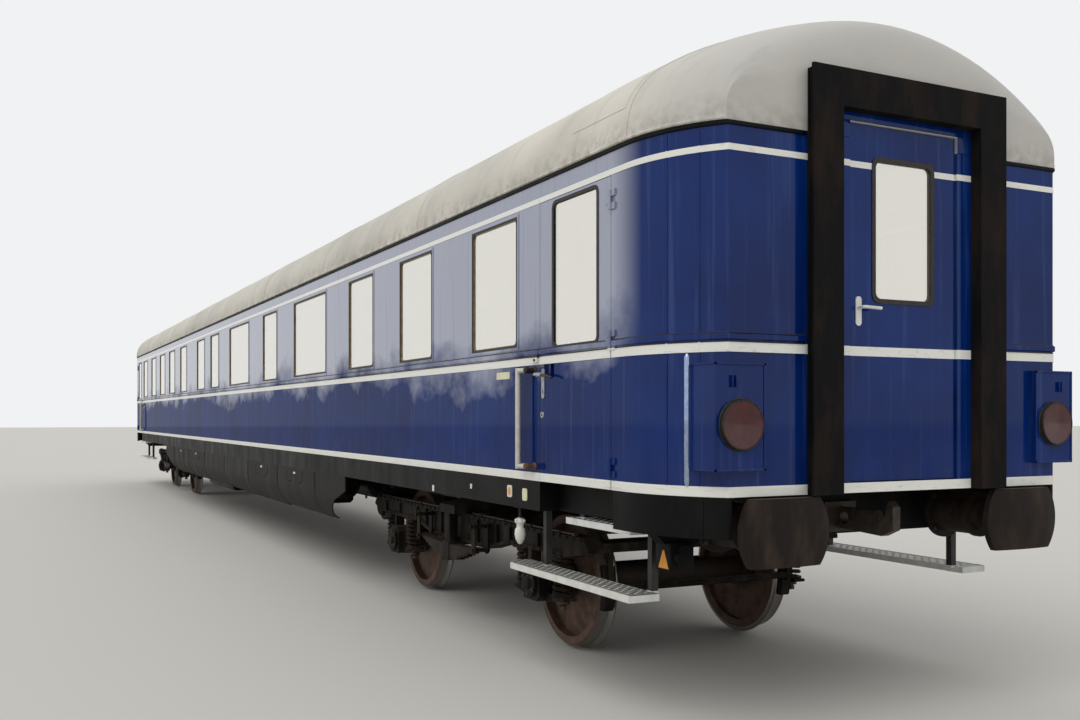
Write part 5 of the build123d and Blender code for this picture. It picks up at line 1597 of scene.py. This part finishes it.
gearSettings = {
    "bottle": (10.55, -1.395), "bottleTop": 1.012,
    # height below the top, radius
    "bottleShape": [(0, 0.016), (0.008, 0.03), (0.02, 0.036), (0.034, 0.036), (0.04, 0.026), (0.062, 0.023),
                    (0.078, 0.034), (0.11, 0.038), (0.145, 0.031), (0.17, 0.017), (0.178, 0.006)],
    "lugs": (4, 0.4, 0.008),                        # count, turn of the first, radius
    "lugEnds": [(0.031, 0.018), (0.043, 0.02)],     # out from the middle and down from the top
    "hook": (0.02, 0.004, 0.006), "hookFoot": (0.035, 0.03, 0.008), "sunk": 0.002,
    "socketBox": ((11.95, -1.225, 0.835), (12.1, -1.07, 0.99)),
    "socket": (-1.15, 0.91), "socketShape": [(-0.002, 0.056), (0.03, 0.056), (0.036, 0.05)],
    "socketCatch": ((12.126, -1.185, 0.955), (12.134, -1.115, 0.985)),
    "sign": (12.035, 0.85, 0.05, 0.1, 0.006),      # middle, foot, half width, height, half width of the tip
    "pipeY": 1.035, "pipeZ": 0.891, "pipeRadius": 0.011, "pipeInto": 0.16,
    "pipeSpans": [(-2.05, -0.24), (2.05, 0.24)],    # outer and inner end of each pipe from the pivot
    "nut": (0.004, 0.04, 0.018),
    "clipPitch": 0.42, "clip": (0.014, 0.012, 0.0025),
}


def makeCoupler():
    # a porcelain-white dummy coupler hung under the sole bar by a flat hook
    s = gearSettings
    x, y = s["bottle"]
    top, sunk = s["bottleTop"], s["sunk"]
    count, first, radius = s["lugs"]
    form, hook = bmesh.new(), bmesh.new()
    addLathe(form, "z", (x, y), [(top - down, wide) for down, wide in s["bottleShape"]], 28)
    for lug in range(count):
        t = 2 * math.pi / count * lug + first
        addTube(form, [(x + away * math.cos(t), y + away * math.sin(t), top - down)
                       for away, down in s["lugEnds"]], radius, 8)
    finishPiece(form, "dummy_coupler", whiteEnamel, bevel=0.001)
    half, thick, under = s["hook"]
    addBlock(hook, x, y, half, thick, top - under, soleLowZ + sunk)
    half, thick, under = s["hookFoot"]
    addBlock(hook, x, y, half, thick, soleLowZ - under, soleLowZ + sunk)
    finishPiece(hook, "coupler_hook", soleBlack, bevel=0.0015)


def makeSocketBox():
    # heating socket under the headstock, with a blank orange warning triangle
    s = gearSettings
    low, high = s["socketBox"]
    form, sign = bmesh.new(), bmesh.new()
    addBox(form, low, high)
    addLathe(form, "x", s["socket"], [(high[0] + at, r) for at, r in s["socketShape"]], 28)
    addBox(form, *s["socketCatch"])
    finishPiece(form, "socket_box", soleBlack, bevel=0.004)
    x, foot, half, tall, tip = s["sign"]
    outline = [(x - half, foot), (x + half, foot), (x + tip, foot + tall), (x - tip, foot + tall)]
    addPrism(sign, "y", outline, low[1] + 0.001, low[1] - 0.003)
    finishPiece(sign, "warning_triangle", orangePlate, bevel=0.002)


def makeAirPipes():
    s = gearSettings
    radius, z = s["pipeRadius"], s["pipeZ"]
    before, after, nut = s["nut"]
    half, aside, proud = s["clip"]
    for sx, body in bogies:
        middle = sx * pivotX
        form, clips = bmesh.new(), bmesh.new()
        for sy in (-1, 1):
            y, inner = sy * s["pipeY"], sy * (s["pipeY"] - s["pipeInto"])
            for first, last in s["pipeSpans"]:
                inward = 1 if first < last else -1
                line = [(middle + first, y, z), (middle + last, y, z), (middle + last, inner, z)]
                addTube(form, bendLine(line, 0.05), radius, 10)
                ends = [(middle + first - before, nut), (middle + first + inward * after, nut)]
                addLathe(form, "x", (y, z), ends, 6)
                start, end = min(first, last), max(first, last)
                count = int((end - start) / s["clipPitch"])
                for i in range(count):
                    x = middle + start + (end - start) * (i + 0.5) / count
                    addBlock(clips, x, y, half, radius + aside, z - radius, z - 0.002)
                    addTube(clips, [(x - half, y, z), (x + half, y, z)], radius + proud, 12)
        finishPiece(form, "air_pipes_" + body, ironDark, body)
        finishPiece(clips, "pipe_clips_" + body, bogieBlack, body)


makeCoupler()
makeSocketBox()
makeAirPipes()
print("couplers and pipes made")
